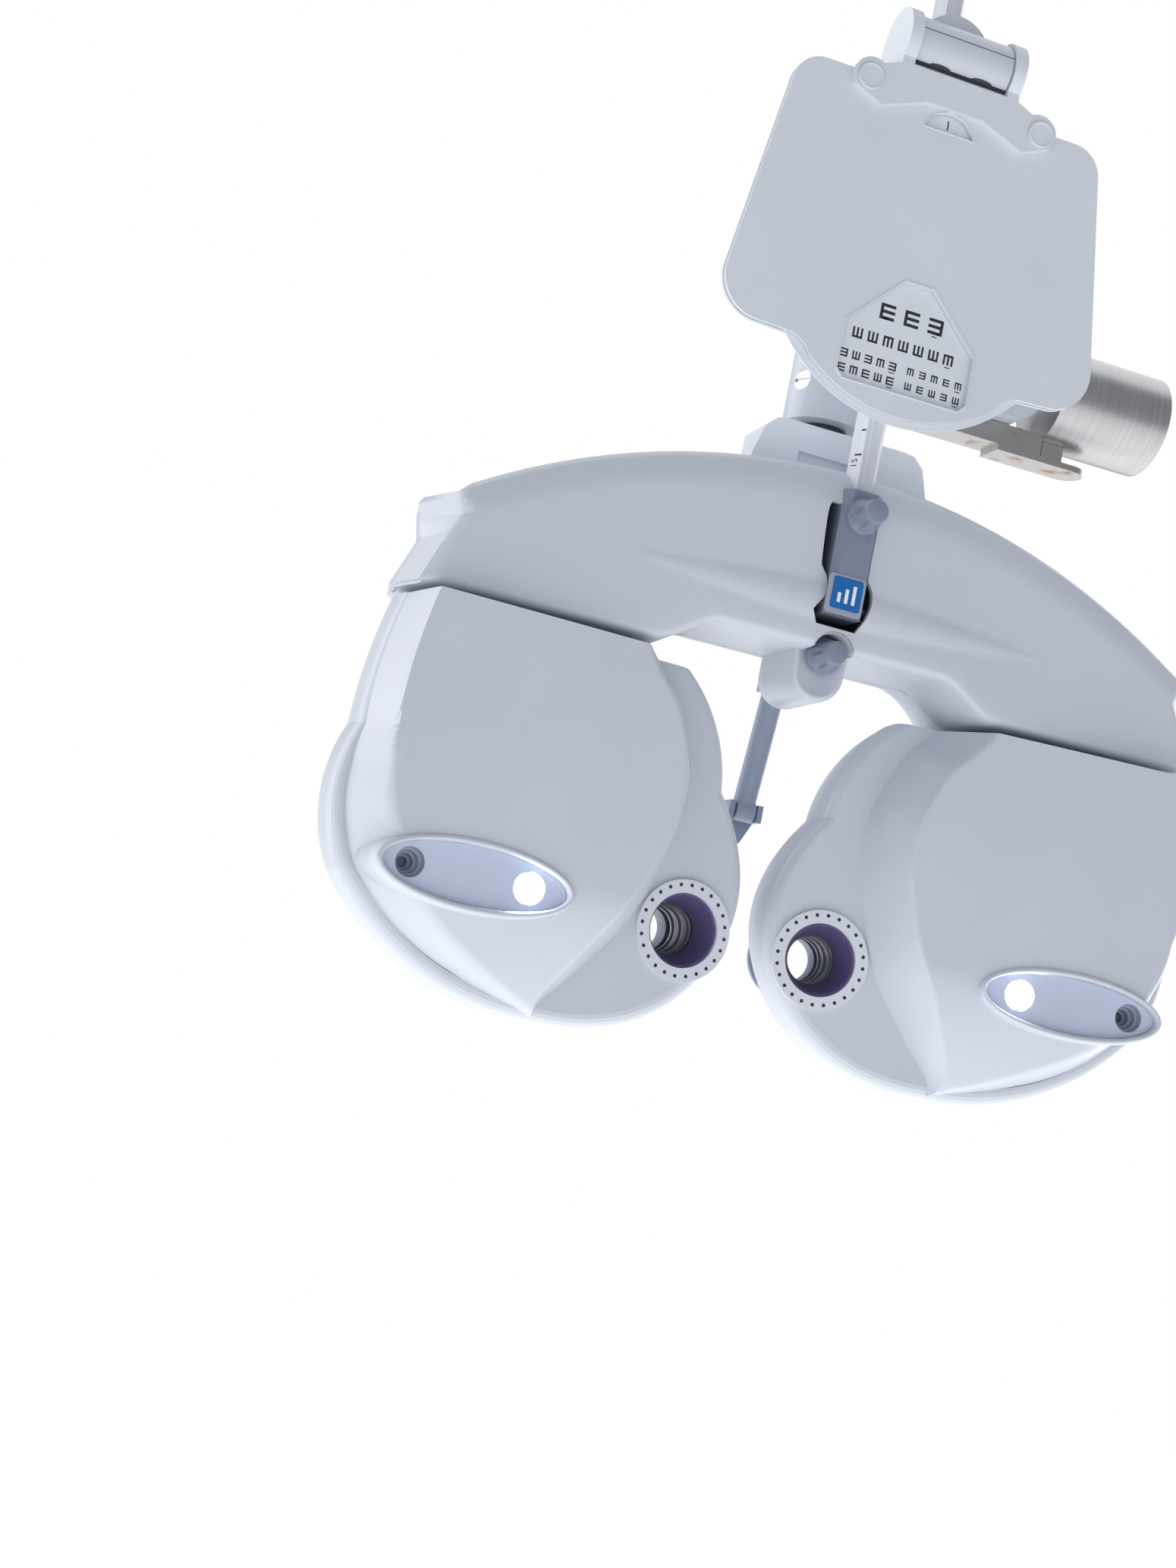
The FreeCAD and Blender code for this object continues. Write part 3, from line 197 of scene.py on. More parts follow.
def cut_out(piece, tools):
    """Takes tools out of a piece and deletes them."""
    for tool in tools:
        change = piece.modifiers.new("cut", "BOOLEAN")
        change.operation = "DIFFERENCE"
        change.solver = "EXACT"
        change.object = tool
    apply_modifiers(piece)
    for tool in tools:
        bpy.data.objects.remove(tool)
    piece.data.set_sharp_from_angle(angle=math.radians(CUT_SHARP))


def thicken(piece, thickness):
    """Gives a skin a wall behind it, of a thickness in metres."""
    change = piece.modifiers.new("wall", "SOLIDIFY")
    change.thickness = thickness
    change.offset = -1
    change.use_even_offset = False
    apply_modifiers(piece)


# ---- materials ------------------------------------------------------------------------------------------


def new_material(name, color, roughness, metallic=0.0):
    """A material with one Principled shader. Returns the material, its nodes, its links and the shader."""
    material = bpy.data.materials.new(name)
    material.use_nodes = True
    tree = material.node_tree
    shader = tree.nodes["Principled BSDF"]
    shader.inputs["Base Color"].default_value = (*color, 1)
    shader.inputs["Roughness"].default_value = roughness
    shader.inputs["Metallic"].default_value = metallic
    return material, tree.nodes, tree.links, shader


def position_noise(tree_nodes, links, scale, detail=2.0, stretch=(1, 1, 1)):
    """Noise over a piece's own coordinates."""
    place = tree_nodes.new("ShaderNodeTexCoord")
    mapping = tree_nodes.new("ShaderNodeMapping")
    mapping.inputs["Scale"].default_value = stretch
    noise = tree_nodes.new("ShaderNodeTexNoise")
    noise.inputs["Scale"].default_value = scale
    noise.inputs["Detail"].default_value = detail
    links.new(place.outputs["Object"], mapping.inputs["Vector"])
    links.new(mapping.outputs["Vector"], noise.inputs["Vector"])
    return noise


def vary_color(tree_nodes, links, shader, noise, low, high):
    """Lets noise choose between two colours."""
    ramp = tree_nodes.new("ShaderNodeValToRGB")
    ramp.color_ramp.elements[0].position = 0.3
    ramp.color_ramp.elements[0].color = (*low, 1)
    ramp.color_ramp.elements[1].position = 0.7
    ramp.color_ramp.elements[1].color = (*high, 1)
    links.new(noise.outputs["Fac"], ramp.inputs["Fac"])
    links.new(ramp.outputs["Color"], shader.inputs["Base Color"])
    return ramp


def vary_roughness(tree_nodes, links, shader, noise, low, high):
    """Lets noise choose between two roughnesses."""
    spread = tree_nodes.new("ShaderNodeMapRange")
    spread.inputs["To Min"].default_value = low
    spread.inputs["To Max"].default_value = high
    links.new(noise.outputs["Fac"], spread.inputs["Value"])
    links.new(spread.outputs["Result"], shader.inputs["Roughness"])


def add_bump(tree_nodes, links, shader, noise, strength, distance):
    """Fine relief from noise, with its height in metres."""
    bump = tree_nodes.new("ShaderNodeBump")
    bump.inputs["Strength"].default_value = strength
    bump.inputs["Distance"].default_value = distance
    links.new(noise.outputs["Fac"], bump.inputs["Height"])
    links.new(bump.outputs["Normal"], shader.inputs["Normal"])


def shade(color, factor):
    return tuple(min(c * factor, 1) for c in color)


def plastic(name, color, roughness, grain=1500, grain_depth=0.00002, coat=0.0):
    """Moulded plastic: fine spark-eroded grain, slightly uneven gloss and colour."""
    material, tree_nodes, links, shader = new_material(name, color, roughness)
    clouds = position_noise(tree_nodes, links, 14, 3)
    vary_color(tree_nodes, links, shader, clouds, shade(color, 0.975), shade(color, 1.02))
    vary_roughness(tree_nodes, links, shader, clouds, roughness * 0.9, roughness * 1.12)
    fine = position_noise(tree_nodes, links, grain, 1)
    add_bump(tree_nodes, links, shader, fine, 0.25, grain_depth)
    shader.inputs["Coat Weight"].default_value = coat
    shader.inputs["Coat Roughness"].default_value = 0.25
    return material


def metal(name, color, roughness, stretch=(1, 60, 60), scale=40, depth=0.00001):
    """Brushed or drawn metal, with its scratches along one axis."""
    material, tree_nodes, links, shader = new_material(name, color, roughness, 1.0)
    brush = position_noise(tree_nodes, links, scale, 6, stretch)
    vary_color(tree_nodes, links, shader, brush, shade(color, 0.86), shade(color, 1.08))
    vary_roughness(tree_nodes, links, shader, brush, roughness * 0.75, roughness * 1.35)
    add_bump(tree_nodes, links, shader, brush, 0.2, depth)
    return material


def stained_steel(name):
    """Old flat bar: brushed along its length, with brown spots."""
    material, tree_nodes, links, shader = new_material(name, (0.5, 0.48, 0.46), 0.4, 1.0)
    brush = position_noise(tree_nodes, links, 40, 6, (1, 40, 40))
    add_bump(tree_nodes, links, shader, brush, 0.25, 0.00002)
    spots = position_noise(tree_nodes, links, 90, 6)
    ramp = vary_color(tree_nodes, links, shader, spots, (0.50, 0.48, 0.46), (0.30, 0.17, 0.09))
    ramp.color_ramp.elements[0].position = 0.56
    ramp.color_ramp.elements[1].position = 0.72
    spread = tree_nodes.new("ShaderNodeMapRange")
    spread.inputs["From Min"].default_value = 0.56
    spread.inputs["From Max"].default_value = 0.72
    spread.inputs["To Min"].default_value = 0.38
    spread.inputs["To Max"].default_value = 0.8
    links.new(spots.outputs["Fac"], spread.inputs["Value"])
    links.new(spread.outputs["Result"], shader.inputs["Roughness"])
    return material


def glow(name, color, strength):
    """A lit lamp's lens."""
    material, tree_nodes, links, shader = new_material(name, color, 0.2)
    hot = position_noise(tree_nodes, links, 400, 1)
    vary_color(tree_nodes, links, shader, hot, shade(color, 0.95), color)
    shader.inputs["Emission Color"].default_value = (*color, 1)
    shader.inputs["Emission Strength"].default_value = strength
    return material


def glass(name, color):
    """Clear glass with a slightly uneven polish."""
    material, tree_nodes, links, shader = new_material(name, color, 0.03)
    smear = position_noise(tree_nodes, links, 60, 3)
    vary_roughness(tree_nodes, links, shader, smear, 0.01, 0.06)
    shader.inputs["Transmission Weight"].default_value = 1.0
    shader.inputs["IOR"].default_value = 1.5
    return material


def rod_metal(name):
    """Matt anodised aluminium, drawn along its length."""
    material = metal(name, (0.72, 0.74, 0.79), 0.5, stretch=(60, 60, 1), scale=30)
    material.node_tree.nodes["Principled BSDF"].inputs["Metallic"].default_value = 0.35
    return material


SHELL = plastic("shell_plastic", (0.59, 0.62, 0.68), 0.38, coat=0.1)
CHART = plastic("chart_plastic", (0.68, 0.71, 0.76), 0.42)
# the top cap's plastic: the shell's pale plastic painted lighter, as painted light for the light the cap gets
# from behind and above
TOP_CAP_LIT = plastic("top_cap_plastic_painted_light", (0.76, 0.79, 0.85), 0.4)
CARD = plastic("chart_card", (0.74, 0.77, 0.82), 0.5)
BLUEGREY = plastic("bluegrey_plastic", (0.22, 0.25, 0.34), 0.42, coat=0.1)
BADGE_GREY = plastic("badge_frame_plastic", (0.36, 0.37, 0.45), 0.4)
ARM_GREY = plastic("arm_plastic", (0.30, 0.34, 0.44), 0.42, coat=0.1)
WINDOW = plastic("window_plastic", (0.56, 0.62, 0.77), 0.3, coat=0.4)
DARK = plastic("dark_plastic", (0.035, 0.033, 0.045), 0.45)
CUP = plastic("peep_cup", (0.33, 0.37, 0.46), 0.35, coat=0.2)
BAFFLE = plastic("baffle_plastic", (0.10, 0.08, 0.19), 0.45)
RING = plastic("ring_plastic", (0.68, 0.70, 0.76), 0.4)
# black print, also used for the painted shade of the axis ring's small holes
INK_AND_HOLE_SHADE = plastic("black_ink_and_hole_shade", (0.02, 0.02, 0.03), 0.5)
WHITE_INK = plastic("white_ink", (0.85, 0.87, 0.9), 0.5)
BLUE = plastic("blue_enamel", (0.0, 0.13, 0.42), 0.25, coat=0.5)
RUBBER = plastic("pad_rubber", (0.09, 0.10, 0.13), 0.7, grain=900)
STEEL = metal("brushed_sleeve", (0.50, 0.49, 0.49), 0.34, stretch=(80, 1, 1), scale=30)
GROUND = metal("ground_steel", (0.6, 0.6, 0.62), 0.25)
ROD = rod_metal("rod_anodised")
DISC = metal("disc_anodised", (0.25, 0.25, 0.28), 0.4, stretch=(1, 1, 1), scale=300)
BRASS = metal("brass", (0.75, 0.55, 0.25), 0.3)
MOTOR = metal("motor_can", (0.3, 0.3, 0.32), 0.4)
BAR = stained_steel("stained_bar")
LAMP = glow("lamp_glow", (0.85, 0.92, 1.0), 24)
GLASS = glass("lens_glass", (0.9, 0.95, 1.0))

SLOT_MATERIALS = {
    "pale_plastic": SHELL,
    "window_plastic": WINDOW,
    "bluegrey_plastic": BLUEGREY,
    "dark_plastic": DARK,
    "ring_plastic": RING,
    "lamp_lens": LAMP,
    "lens_glass": GLASS,
    "steel": GROUND,
    "bar_steel": BAR,
    "rod_metal": ROD,
    "disc_metal": DISC,
    "brass": BRASS,
    "motor_metal": MOTOR,
    "card": CARD,
    "pad_rubber": RUBBER,
}


def dress_cad_nodes():
    """Gives every CAD node the material of its slot, and smooth shading that keeps its hard edges."""
    slots = {entry["node"]: entry["material_slot"] for entry in frame["record"]["subparts"]}
    # the top cap gets a lighter copy of the shell plastic: painted light
    special = {"arm_sleeve": STEEL, "hanger_block": SHELL, "top_cap": TOP_CAP_LIT}
    special.update({name: CHART for name in ("chart_front_plate", "chart_back_plate", "chart_bracket")})
    special.update({name: ARM_GREY for name in ("forehead_arm", "forehead_pad")})
    special.update({f"{side}_aperture_tube": BAFFLE for side in SIDES})
    for name, node in nodes.items():
        node.data.materials.clear()
        node.data.materials.append(special.get(name, SLOT_MATERIALS[slots[name]]))
        node.data.shade_smooth()
        node.data.set_sharp_from_angle(angle=math.radians(CAD_SHARP))


# ---- camera, light and floor ----------------------------------------------------------------------------

CAMERA_AZIMUTH = math.radians(16.32)
CAMERA_BELOW = math.radians(6.56)
CAMERA_ROLL = math.radians(11.29)
CAMERA_DISTANCE = 800.5
CAMERA_LENS = 48.45
CAMERA_TARGET = Vector((-77.3, 0, 46.7))


def add_camera():
    """The photograph's camera."""
    forward = Vector((
        math.sin(CAMERA_AZIMUTH) * math.cos(CAMERA_BELOW),
        math.cos(CAMERA_AZIMUTH) * math.cos(CAMERA_BELOW),
        math.sin(CAMERA_BELOW),
    ))
    right = Vector((math.cos(CAMERA_AZIMUTH), -math.sin(CAMERA_AZIMUTH), 0))
    up = right.cross(forward)
    rolled_right = right * math.cos(CAMERA_ROLL) + up * math.sin(CAMERA_ROLL)
    rolled_up = up * math.cos(CAMERA_ROLL) - right * math.sin(CAMERA_ROLL)
    place = machine(*(CAMERA_TARGET - forward * CAMERA_DISTANCE))
    turn = Matrix((rolled_right, rolled_up, -forward)).transposed().to_4x4()
    data = bpy.data.cameras.new("camera")
    data.sensor_width = 36
    data.lens = CAMERA_LENS
    data.clip_start = 0.01
    camera = bpy.data.objects.new("camera", data)
    bpy.context.scene.collection.objects.link(camera)
    camera.matrix_world = Matrix.Translation(place) @ turn
    bpy.context.scene.camera = camera


def area_light(name, place, target, size, power, color=(1, 1, 1)):
    data = bpy.data.lights.new(name, "AREA")
    data.shape = "RECTANGLE"
    data.size, data.size_y = size
    data.energy = power
    data.color = color
    light = bpy.data.objects.new(name, data)
    bpy.context.scene.collection.objects.link(light)
    light.location = machine(*place)
    light.rotation_mode = "QUATERNION"
    light.rotation_quaternion = (machine(*target) - machine(*place)).to_track_quat("-Z", "Y")


def add_lights():
    """Large soft lights above and behind, and a weak one in front."""
    area_light("sky", (0, 400, 1500), (0, 0, 100), (2.4, 1.8), 13)
    area_light("from_behind_left", (-1500, 900, 400), (0, 0, 100), (1.6, 1.8), 17)
    area_light("from_behind_right", (1500, 900, 400), (0, 0, 100), (1.6, 1.8), 17)
    area_light("front_fill", (-900, -1600, 500), (0, 0, 100), (2.0, 2.0), 4, (0.93, 0.96, 1.0))


def add_world():
    """Dim neutral light all round, and a white surround for what the camera sees."""
    world = bpy.data.worlds.new("studio")
    bpy.context.scene.world = world
    world.use_nodes = True
    tree_nodes, links = world.node_tree.nodes, world.node_tree.links
    dim = tree_nodes["Background"]
    dim.inputs["Color"].default_value = (0.86, 0.91, 1.0, 1)
    dim.inputs["Strength"].default_value = 0.38
    white = tree_nodes.new("ShaderNodeBackground")
    white.inputs["Color"].default_value = (1, 1, 1, 1)
    white.inputs["Strength"].default_value = 1.0
    which = tree_nodes.new("ShaderNodeLightPath")
    mix = tree_nodes.new("ShaderNodeMixShader")
    links.new(which.outputs["Is Camera Ray"], mix.inputs["Fac"])
    links.new(dim.outputs["Background"], mix.inputs[1])
    links.new(white.outputs["Background"], mix.inputs[2])
    links.new(mix.outputs["Shader"], tree_nodes["World Output"].inputs["Surface"])


def add_floor():
    """A pale floor, well below the part."""
    half = 6.0
    z = machine(0, 0, -1150).z
    points = [(-half, -half, z), (half, -half, z), (half, half, z), (-half, half, z)]
    pale, _, _, shader = new_material("floor_pale", (0.93, 0.93, 0.94), 0.8)
    shader.inputs["Emission Color"].default_value = (1, 1, 1, 1)
    shader.inputs["Emission Strength"].default_value = 0.86
    floor = mesh_piece("floor", points, [(0, 1, 2, 3)], pale)


# ---- front covers of the heads --------------------------------------------------------------------------

COVER_FRONT = 26.5  # the cover's face stands this far in front of the sight opening
SEAM = 17.5  # the seam between front and rear casings, behind the sight opening
COVER_INNER = curve_points(
    [(50, 130), (33, 102), (19.8, 87), (10.5, 65), (8.3, 49)]
    + [(11, 29), (21, 2), (38, -22), (51, -37), (54, -45.2)],
    14,
)
COVER_BOTTOM = arc_points((54, -45.2), (97, -37), (137.7, -5.4), 44)
COVER_SIDE = arc_points((137.7, -5.4), (146, 23), (141, 48.8), 20)
COVER_SIDE += arc_points((141, 48.8), (137.2, 86), (123.5, 130), 18)[1:]
COVER_TOP = [(123.5 - 8 * i, 130) for i in range(1, 9)]
COVER_CENTRE = (84, 42)
INNER_SLOPE = 2.05  # the flank above the sight opening rises this much for each millimetre
FACET_BY_HEIGHT = [(-5, 17.5), (9, 17), (19.5, 15), (33, 12.5), (42, 8.5), (50, 5.8), (67, 4.9), (104, 4.5)]
FACET_BELOW = [(54, 2), (61, 5.5), (75, 9.5), (89.5, 12.5), (112, 14.5), (137, 17.5)]
FACET_RISE = [(0, 0), (0.03, 0.08), (0.1, 0.18), (0.5, 0.59), (1, 1), (4, 3.4)]
WINDOW_U, WINDOW_W = 95, 1.2
WINDOW_HALF = (35.75, 10.75)
WINDOW_CUT_HALF = (35.8, 10.8)
PEEP_U = 120
COVER_WALL = 0.0022


def face_height(u, w):
    """The cover's face, which is slightly crowned and falls back towards the chin."""
    crown = 0.7 * ((u - 84) / 60) ** 2 + 0.7 * ((w - 50) / 60) ** 2
    chin = max(6 - w, 0) / 50
    return COVER_FRONT - crown - 21 * chin**1.6


def cover_height(u, w):
    """How far the cover stands in front of v = 0."""
    face = face_height(u, w)
    from_inner = INNER_SLOPE * distance_to((u, w), COVER_INNER) - 0.5
    mix = smooth_step(w, -14, 2)
    width = between(w, FACET_BY_HEIGHT) * mix + between(u, FACET_BELOW) * (1 - mix)
    part = distance_to((u, w), COVER_BOTTOM + COVER_SIDE) / width
    facet = between(part, FACET_RISE) * (face + SEAM) - SEAM
    height = soft_min(face, facet, 5 - 3 * smooth_step(w, 20, 50))
    return soft_min(height, from_inner, 1.6)


def point_towards(start, end, part):
    """The point a share of the way from start to end."""
    return tuple(a + (b - a) * part for a, b in zip(start, end))


def cover_rings():
    """Rings of (u, w, height) from the cover's edge to its middle."""
    outline = COVER_INNER[:-1] + COVER_BOTTOM[:-1] + COVER_SIDE + COVER_TOP
    steps = [0, 0.25, 0.5, 0.8, 1.2, 1.6, 2.1, 2.7] + [3.3 + 0.8 * i for i in range(22)] + [22, 24, 27]
    reaches = [math.dist(p, COVER_CENTRE) for p in outline]
    made = []
    for step in steps:
        made.append([point_towards(p, COVER_CENTRE, step / reach) for p, reach in zip(outline, reaches)])
    last = made[-1]
    for part in (0.12, 0.26, 0.42, 0.58, 0.74, 0.88, 0.97):
        made.append([point_towards(p, COVER_CENTRE, part) for p in last])
    return [[(u, w, cover_height(u, w)) for u, w in ring] for ring in made]


def ellipse_ring(half_length, half_height, count=96):
    """Points of the lamp window's outline."""
    turns = full_turn(count)
    return [(WINDOW_U + half_length * math.cos(t), WINDOW_W + half_height * math.sin(t)) for t in turns]


def cut_flat_top(piece, height):
    """Cuts a mesh off above a height of the machine frame."""
    bm = bmesh.new()
    bm.from_mesh(piece.data)
    bmesh.ops.bisect_plane(
        bm,
        geom=bm.verts[:] + bm.edges[:] + bm.faces[:],
        plane_co=machine(0, 0, height),
        plane_no=(0, 0, 1),
        clear_outer=True,
    )
    bm.to_mesh(piece.data)
    bm.free()


def make_cover(side_name):
    """A head's front cover with its lamp window cut out, and the pieces on it."""
    side = SIDES[side_name]
    rings = [[head_point(side, u, -h, w) for u, w, h in ring] for ring in COVER_RINGS]
    cover = loft(side_name + "_cover_skin", rings, SHELL, cap_last=True)
    cut_flat_top(cover, HEAD_TOP)
    thicken(cover, COVER_WALL)
    window = prism(
        side_name + "_window_tool",
        ellipse_ring(*WINDOW_CUT_HALF),
        lambda u, w, depth: head_point(side, u, depth, w),
        -40,
        0,
        SHELL,
    )
    cut_out(cover, [window])
    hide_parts(side_name + "_front_cover")
    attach(cover, side_name + "_head")
    make_cover_top(side_name)
    make_window_rim(side_name)
    make_peep_cup(side_name)


def make_cover_top(side_name):
    """The flat top wall of the cover."""
    side = SIDES[side_name]
    outline = [(33, 2), (46.5, -23), (49, -24.8), (126, -24.8), (128.3, -23.4), (133.2, 17.3), (36, 17.3)]
    top = prism(
        side_name + "_cover_top",
        outline,
        lambda u, v, w: head_point(side, u, v, w),
        HEAD_TOP - 2.2,
        HEAD_TOP - 0.05,
        SHELL,
    )
    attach(top, side_name + "_head")


def make_window_rim(side_name):
    """The raised lip round the lamp window."""
    side = SIDES[side_name]
    section = ((0, -14), (0, -26.4), (0.3, -27.1), (0.9, -27.6), (1.5, -27.6), (2.1, -27.1), (2.5, -26.2),
               (3.0, -22), (3.4, -5))
    rings = []
    for out, v in section:
        outline = ellipse_ring(*(half + out for half in WINDOW_HALF))
        rings.append([head_point(side, u, v, w) for u, w in outline])
    rim = loft(side_name + "_window_rim", rings, SHELL, sharp=60)
    thicken(rim, 0.0003)
    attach(rim, side_name + "_head")


def circle_ring(side, u, w, radius, v, count=40):
    """A circle of a head's frame, square to its sight line."""
    return [head_point(side, u + radius * math.cos(t), v, w + radius * math.sin(t)) for t in full_turn(count)]


def make_peep_cup(side_name):
    """The stepped cup behind the small hole of the lamp window."""
    side = SIDES[side_name]
    section = ((5.45, -24.3), (5.0, -21.5), (4.3, -21.3), (4.0, -18.5))
    section += ((3.1, -18.3), (2.8, -15.5), (1.9, -15.3), (1.7, -12.5))
    rings = [circle_ring(side, PEEP_U, WINDOW_W, radius, v) for radius, v in section]
    cup = loft(side_name + "_peep_cup", rings, CUP, cap_last=True)
    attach(cup, side_name + "_head")


# ---- front of the arched body ---------------------------------------------------------------------------

ARCH_SPLIT = 12
ARCH_WALL = 0.0025
ARCH_FRONT = 28
ARCH_LOW, ARCH_END_HIGH = 102.5, 138.2
ARCH_RISE = 12  # how much higher the underside is between the heads
RISE_INNER, RISE_OUTER = 46, 72  # where the underside comes down to the heads
REAR_DRAW = 2.5  # how far the arch's ends draw in towards the parting plane
# lines of the arch's end, from the underside up, as (height, distance from the middle)
END_OUTLINE = [(102.5, 168), (121.9, 160.5), (135.2, 163), (138.2, 161)]
END_CREASE = [(102.5, 161.8), (120.9, 154.9), (129.3, 150.7), (134.7, 152.8), (138.2, 153.4)]
FACE_EDGE = [(102.5, 157), (119.9, 151.1), (129.7, 146.7), (136.5, 149.2), (138.2, 149)]
CROWN_HALF, CROWN_TOP, CROWN_END = 147, 185, 143.5
SHOULDER = [(147, 143.5), (153, 140.3), (161, 138.2), (170, 136)]
ARCH_FACE = 40.2  # depth of the flat face, just past the front plane so that the edges round into it
CROWN_BEVEL = [(0, 33.5), (2, 36), (5.5, 37.8), (13, 40.4), (90, 60)]
FLOOR_BEVEL = [(0, 36.5), (0.6, 38.4), (2, ARCH_FACE), (60, 60)]
BULGE_HALF, BULGE_Z, BULGE_HEIGHT, BULGE_RISE = 92, 131.8, 8.2, 1.4


def crown_z(x):
    """Height of the arch's crown, and of the shoulder that runs on from it."""
    x = abs(x)
    rise = CROWN_TOP - CROWN_END
    radius = (CROWN_HALF**2 + rise**2) / (2 * rise)
    if x < CROWN_HALF:
        return CROWN_TOP - radius + math.sqrt(radius**2 - x * x)
    return between(x, SHOULDER)


def floor_z(x):
    """Height of the arch's underside."""
    return ARCH_LOW + ARCH_RISE * (1 - smooth_step(abs(x), RISE_INNER, RISE_OUTER))


def arch_depth(x, z):
    """How far the front of the arch stands before its parting plane."""
    x = abs(x)
    full = ARCH_FRONT + ARCH_SPLIT
    below_crown = crown_z(x) - z
    from_floor = between(z - floor_z(x), FLOOR_BEVEL)
    depth = soft_min(between(below_crown, CROWN_BEVEL), full, 1.5)
    edge, crease, outline = (between(z, line) for line in (FACE_EDGE, END_CREASE, END_OUTLINE))
    if x > edge:
        at_end = between(x, [(edge, ARCH_FACE), (crease, 36.3), (outline, 13)])
        at_end -= max(5.8 - below_crown, 0) * 0.7
        depth = soft_min(depth, at_end, 0.8)
    depth = soft_min(depth, from_floor, 2)
    return depth + bulge(x, z)


def bulge(x, z):
    """The long low swelling along the middle of the arch's face."""
    reach = 1 - (abs(x) / BULGE_HALF) ** 1.6
    if reach <= 0:
        return 0
    across = (z - BULGE_Z) / (BULGE_HEIGHT * reach + 0.01)
    return BULGE_RISE * reach**1.2 * max(1 - across * across, 0) ** 1.25


def arch_row(t):
    """Points (x, z) across the arch's front at a share t of its height, for x from 0 outwards."""
    z_end = ARCH_LOW + (ARCH_END_HIGH - ARCH_LOW) * t
    face_end = between(z_end, FACE_EDGE)
    row = []
    for i in range(81):
        x = face_end * i / 80
        row.append((x, floor_z(x) + (crown_z(x) - floor_z(x)) * t))
    crease, outline = (between(z_end, END_CREASE), z_end), (between(z_end, END_OUTLINE), z_end)
    row += [point_towards(row[-1], crease, i / 3) for i in (1, 2)]
    return row + [point_towards(crease, outline, i / 7) for i in range(8)]


def make_arch_front():
    """The arch's front, from rows of points that crowd together at its two edges."""
    rows = [0, 0.004, 0.01, 0.02, 0.034, 0.05, 0.07] + [0.09 + 0.74 * i / 46 for i in range(47)]
    rows += [0.85, 0.865, 0.88, 0.895, 0.91, 0.925, 0.94, 0.952, 0.965, 0.978, 0.99, 1]
    rings = []
    for t in rows:
        half = arch_row(t)
        row = [(-x, z) for x, z in reversed(half)] + half[1:]
        rings.append([machine(x, ARCH_SPLIT - arch_depth(x, z), z) for x, z in row])
    shell = loft("arch_front_skin", rings, SHELL, closed=False, sharp=18)
    extend_back(shell, machine(0, ARCH_SPLIT, 0).y)
    thicken(shell, ARCH_WALL)
    return shell


def extend_back(piece, y):
    """Carries the rim of an open skin back to the plane y, drawing the arch's ends in a little."""
    bm = bmesh.new()
    bm.from_mesh(piece.data)
    rim = [edge for edge in bm.edges if edge.is_boundary]
    made = bmesh.ops.extrude_edge_only(bm, edges=rim)
    for item in made["geom"]:
        if isinstance(item, bmesh.types.BMVert):
            x = item.co.x - machine(0, 0, 0).x
            item.co.x -= math.copysign(REAR_DRAW * MM * smooth_step(abs(x) / MM, 140, 158), x)
            item.co.y = y
    bmesh.ops.recalc_face_normals(bm, faces=bm.faces)
    bm.to_mesh(piece.data)
    bm.free()
    piece.data.shade_smooth()
    piece.data.set_sharp_from_angle(angle=math.radians(CUT_SHARP))


# outline of the pocket behind the rod's holder: its left side, its floor, and its rounded right side
POCKET_OUTLINE = curve_points(
    [(-11.9, 171), (-12.9, 166), (-11.9, 148), (-11, 145), (-8.4, 141), (-8.2, 135), (-10.8, 130.5)],
    6,
)
POCKET_OUTLINE += [(-12, 128.2), (-9.5, 123.3), (6.9, 123.1)]
POCKET_OUTLINE += curve_points(
    [(8.2, 125.6), (9.9, 129.6), (11.2, 135), (11, 140), (9, 143.6), (8.3, 146), (8.3, 171)],
    6,
)


def place_front(x, z, depth):
    """A point seen from the front, with its depth last."""
    return machine(x, depth, z)


def make_pocket_floor():
    """A dark sheet at the back of the pocket behind the rod holder: painted shade of the recess."""
    tray = prism("pocket_shade_sheet", POCKET_OUTLINE, place_front, -10, -9, DARK)
    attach(tray, "arch")


KNOB_Z, RECESS_RADIUS = 113.5, 8.6
TOOL_FRONT, POCKET_BACK, RECESS_BACK = -60, -8, -16  # ends of the cuts, in y


def recess_arc(start, end, count):
    """Points (x, z) on the recess round the forehead rest's knob, between two angles."""
    turns = [start + (end - start) * i / count for i in range(count + 1)]
    return [(RECESS_RADIUS * math.cos(t), KNOB_Z + RECESS_RADIUS * math.sin(t)) for t in turns]


def make_recess_wall():
    """The wall of the recess above the knob."""
    arc = recess_arc(0.2, math.pi - 0.2, 30)
    rows = [[machine(x, y, z) for x, z in arc] for y in (-26.6, -15.9)]
    wall = loft("knob_recess", rows, SHELL, closed=False)
    thicken(wall, 0.0006)
    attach(wall, "arch")


def dress_arch():
    """The arch's front with its pocket and its recess cut out, and the pieces in them."""
    shell = make_arch_front()
    recess = recess_arc(0, 2 * math.pi * 47 / 48, 47)
    tools = [
        prism("pocket_tool", POCKET_OUTLINE, place_front, TOOL_FRONT, POCKET_BACK, SHELL),
        prism("recess_tool", recess, place_front, TOOL_FRONT, RECESS_BACK, SHELL),
    ]
    make_recess_wall()
    cut_out(shell, tools)
    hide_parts("body_front_shell")
    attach(shell, "arch")
    make_pocket_floor()
    make_boss()


BOSS_RADIUS, BOSS_Z = 11, 107


def boss_outline(inset):
    """The tongue under the arch: a round end with sides that open upwards."""
    radius = BOSS_RADIUS - inset
    turns = [math.pi + math.pi * i / 28 for i in range(29)]
    round_end = [(radius * math.cos(t), BOSS_Z + radius * math.sin(t)) for t in turns]
    right_side = [(radius + 0.3, 113), (radius + 1.2, 119), (radius + 3, 124)]
    return round_end + right_side + [(-x, z) for x, z in reversed(right_side)]


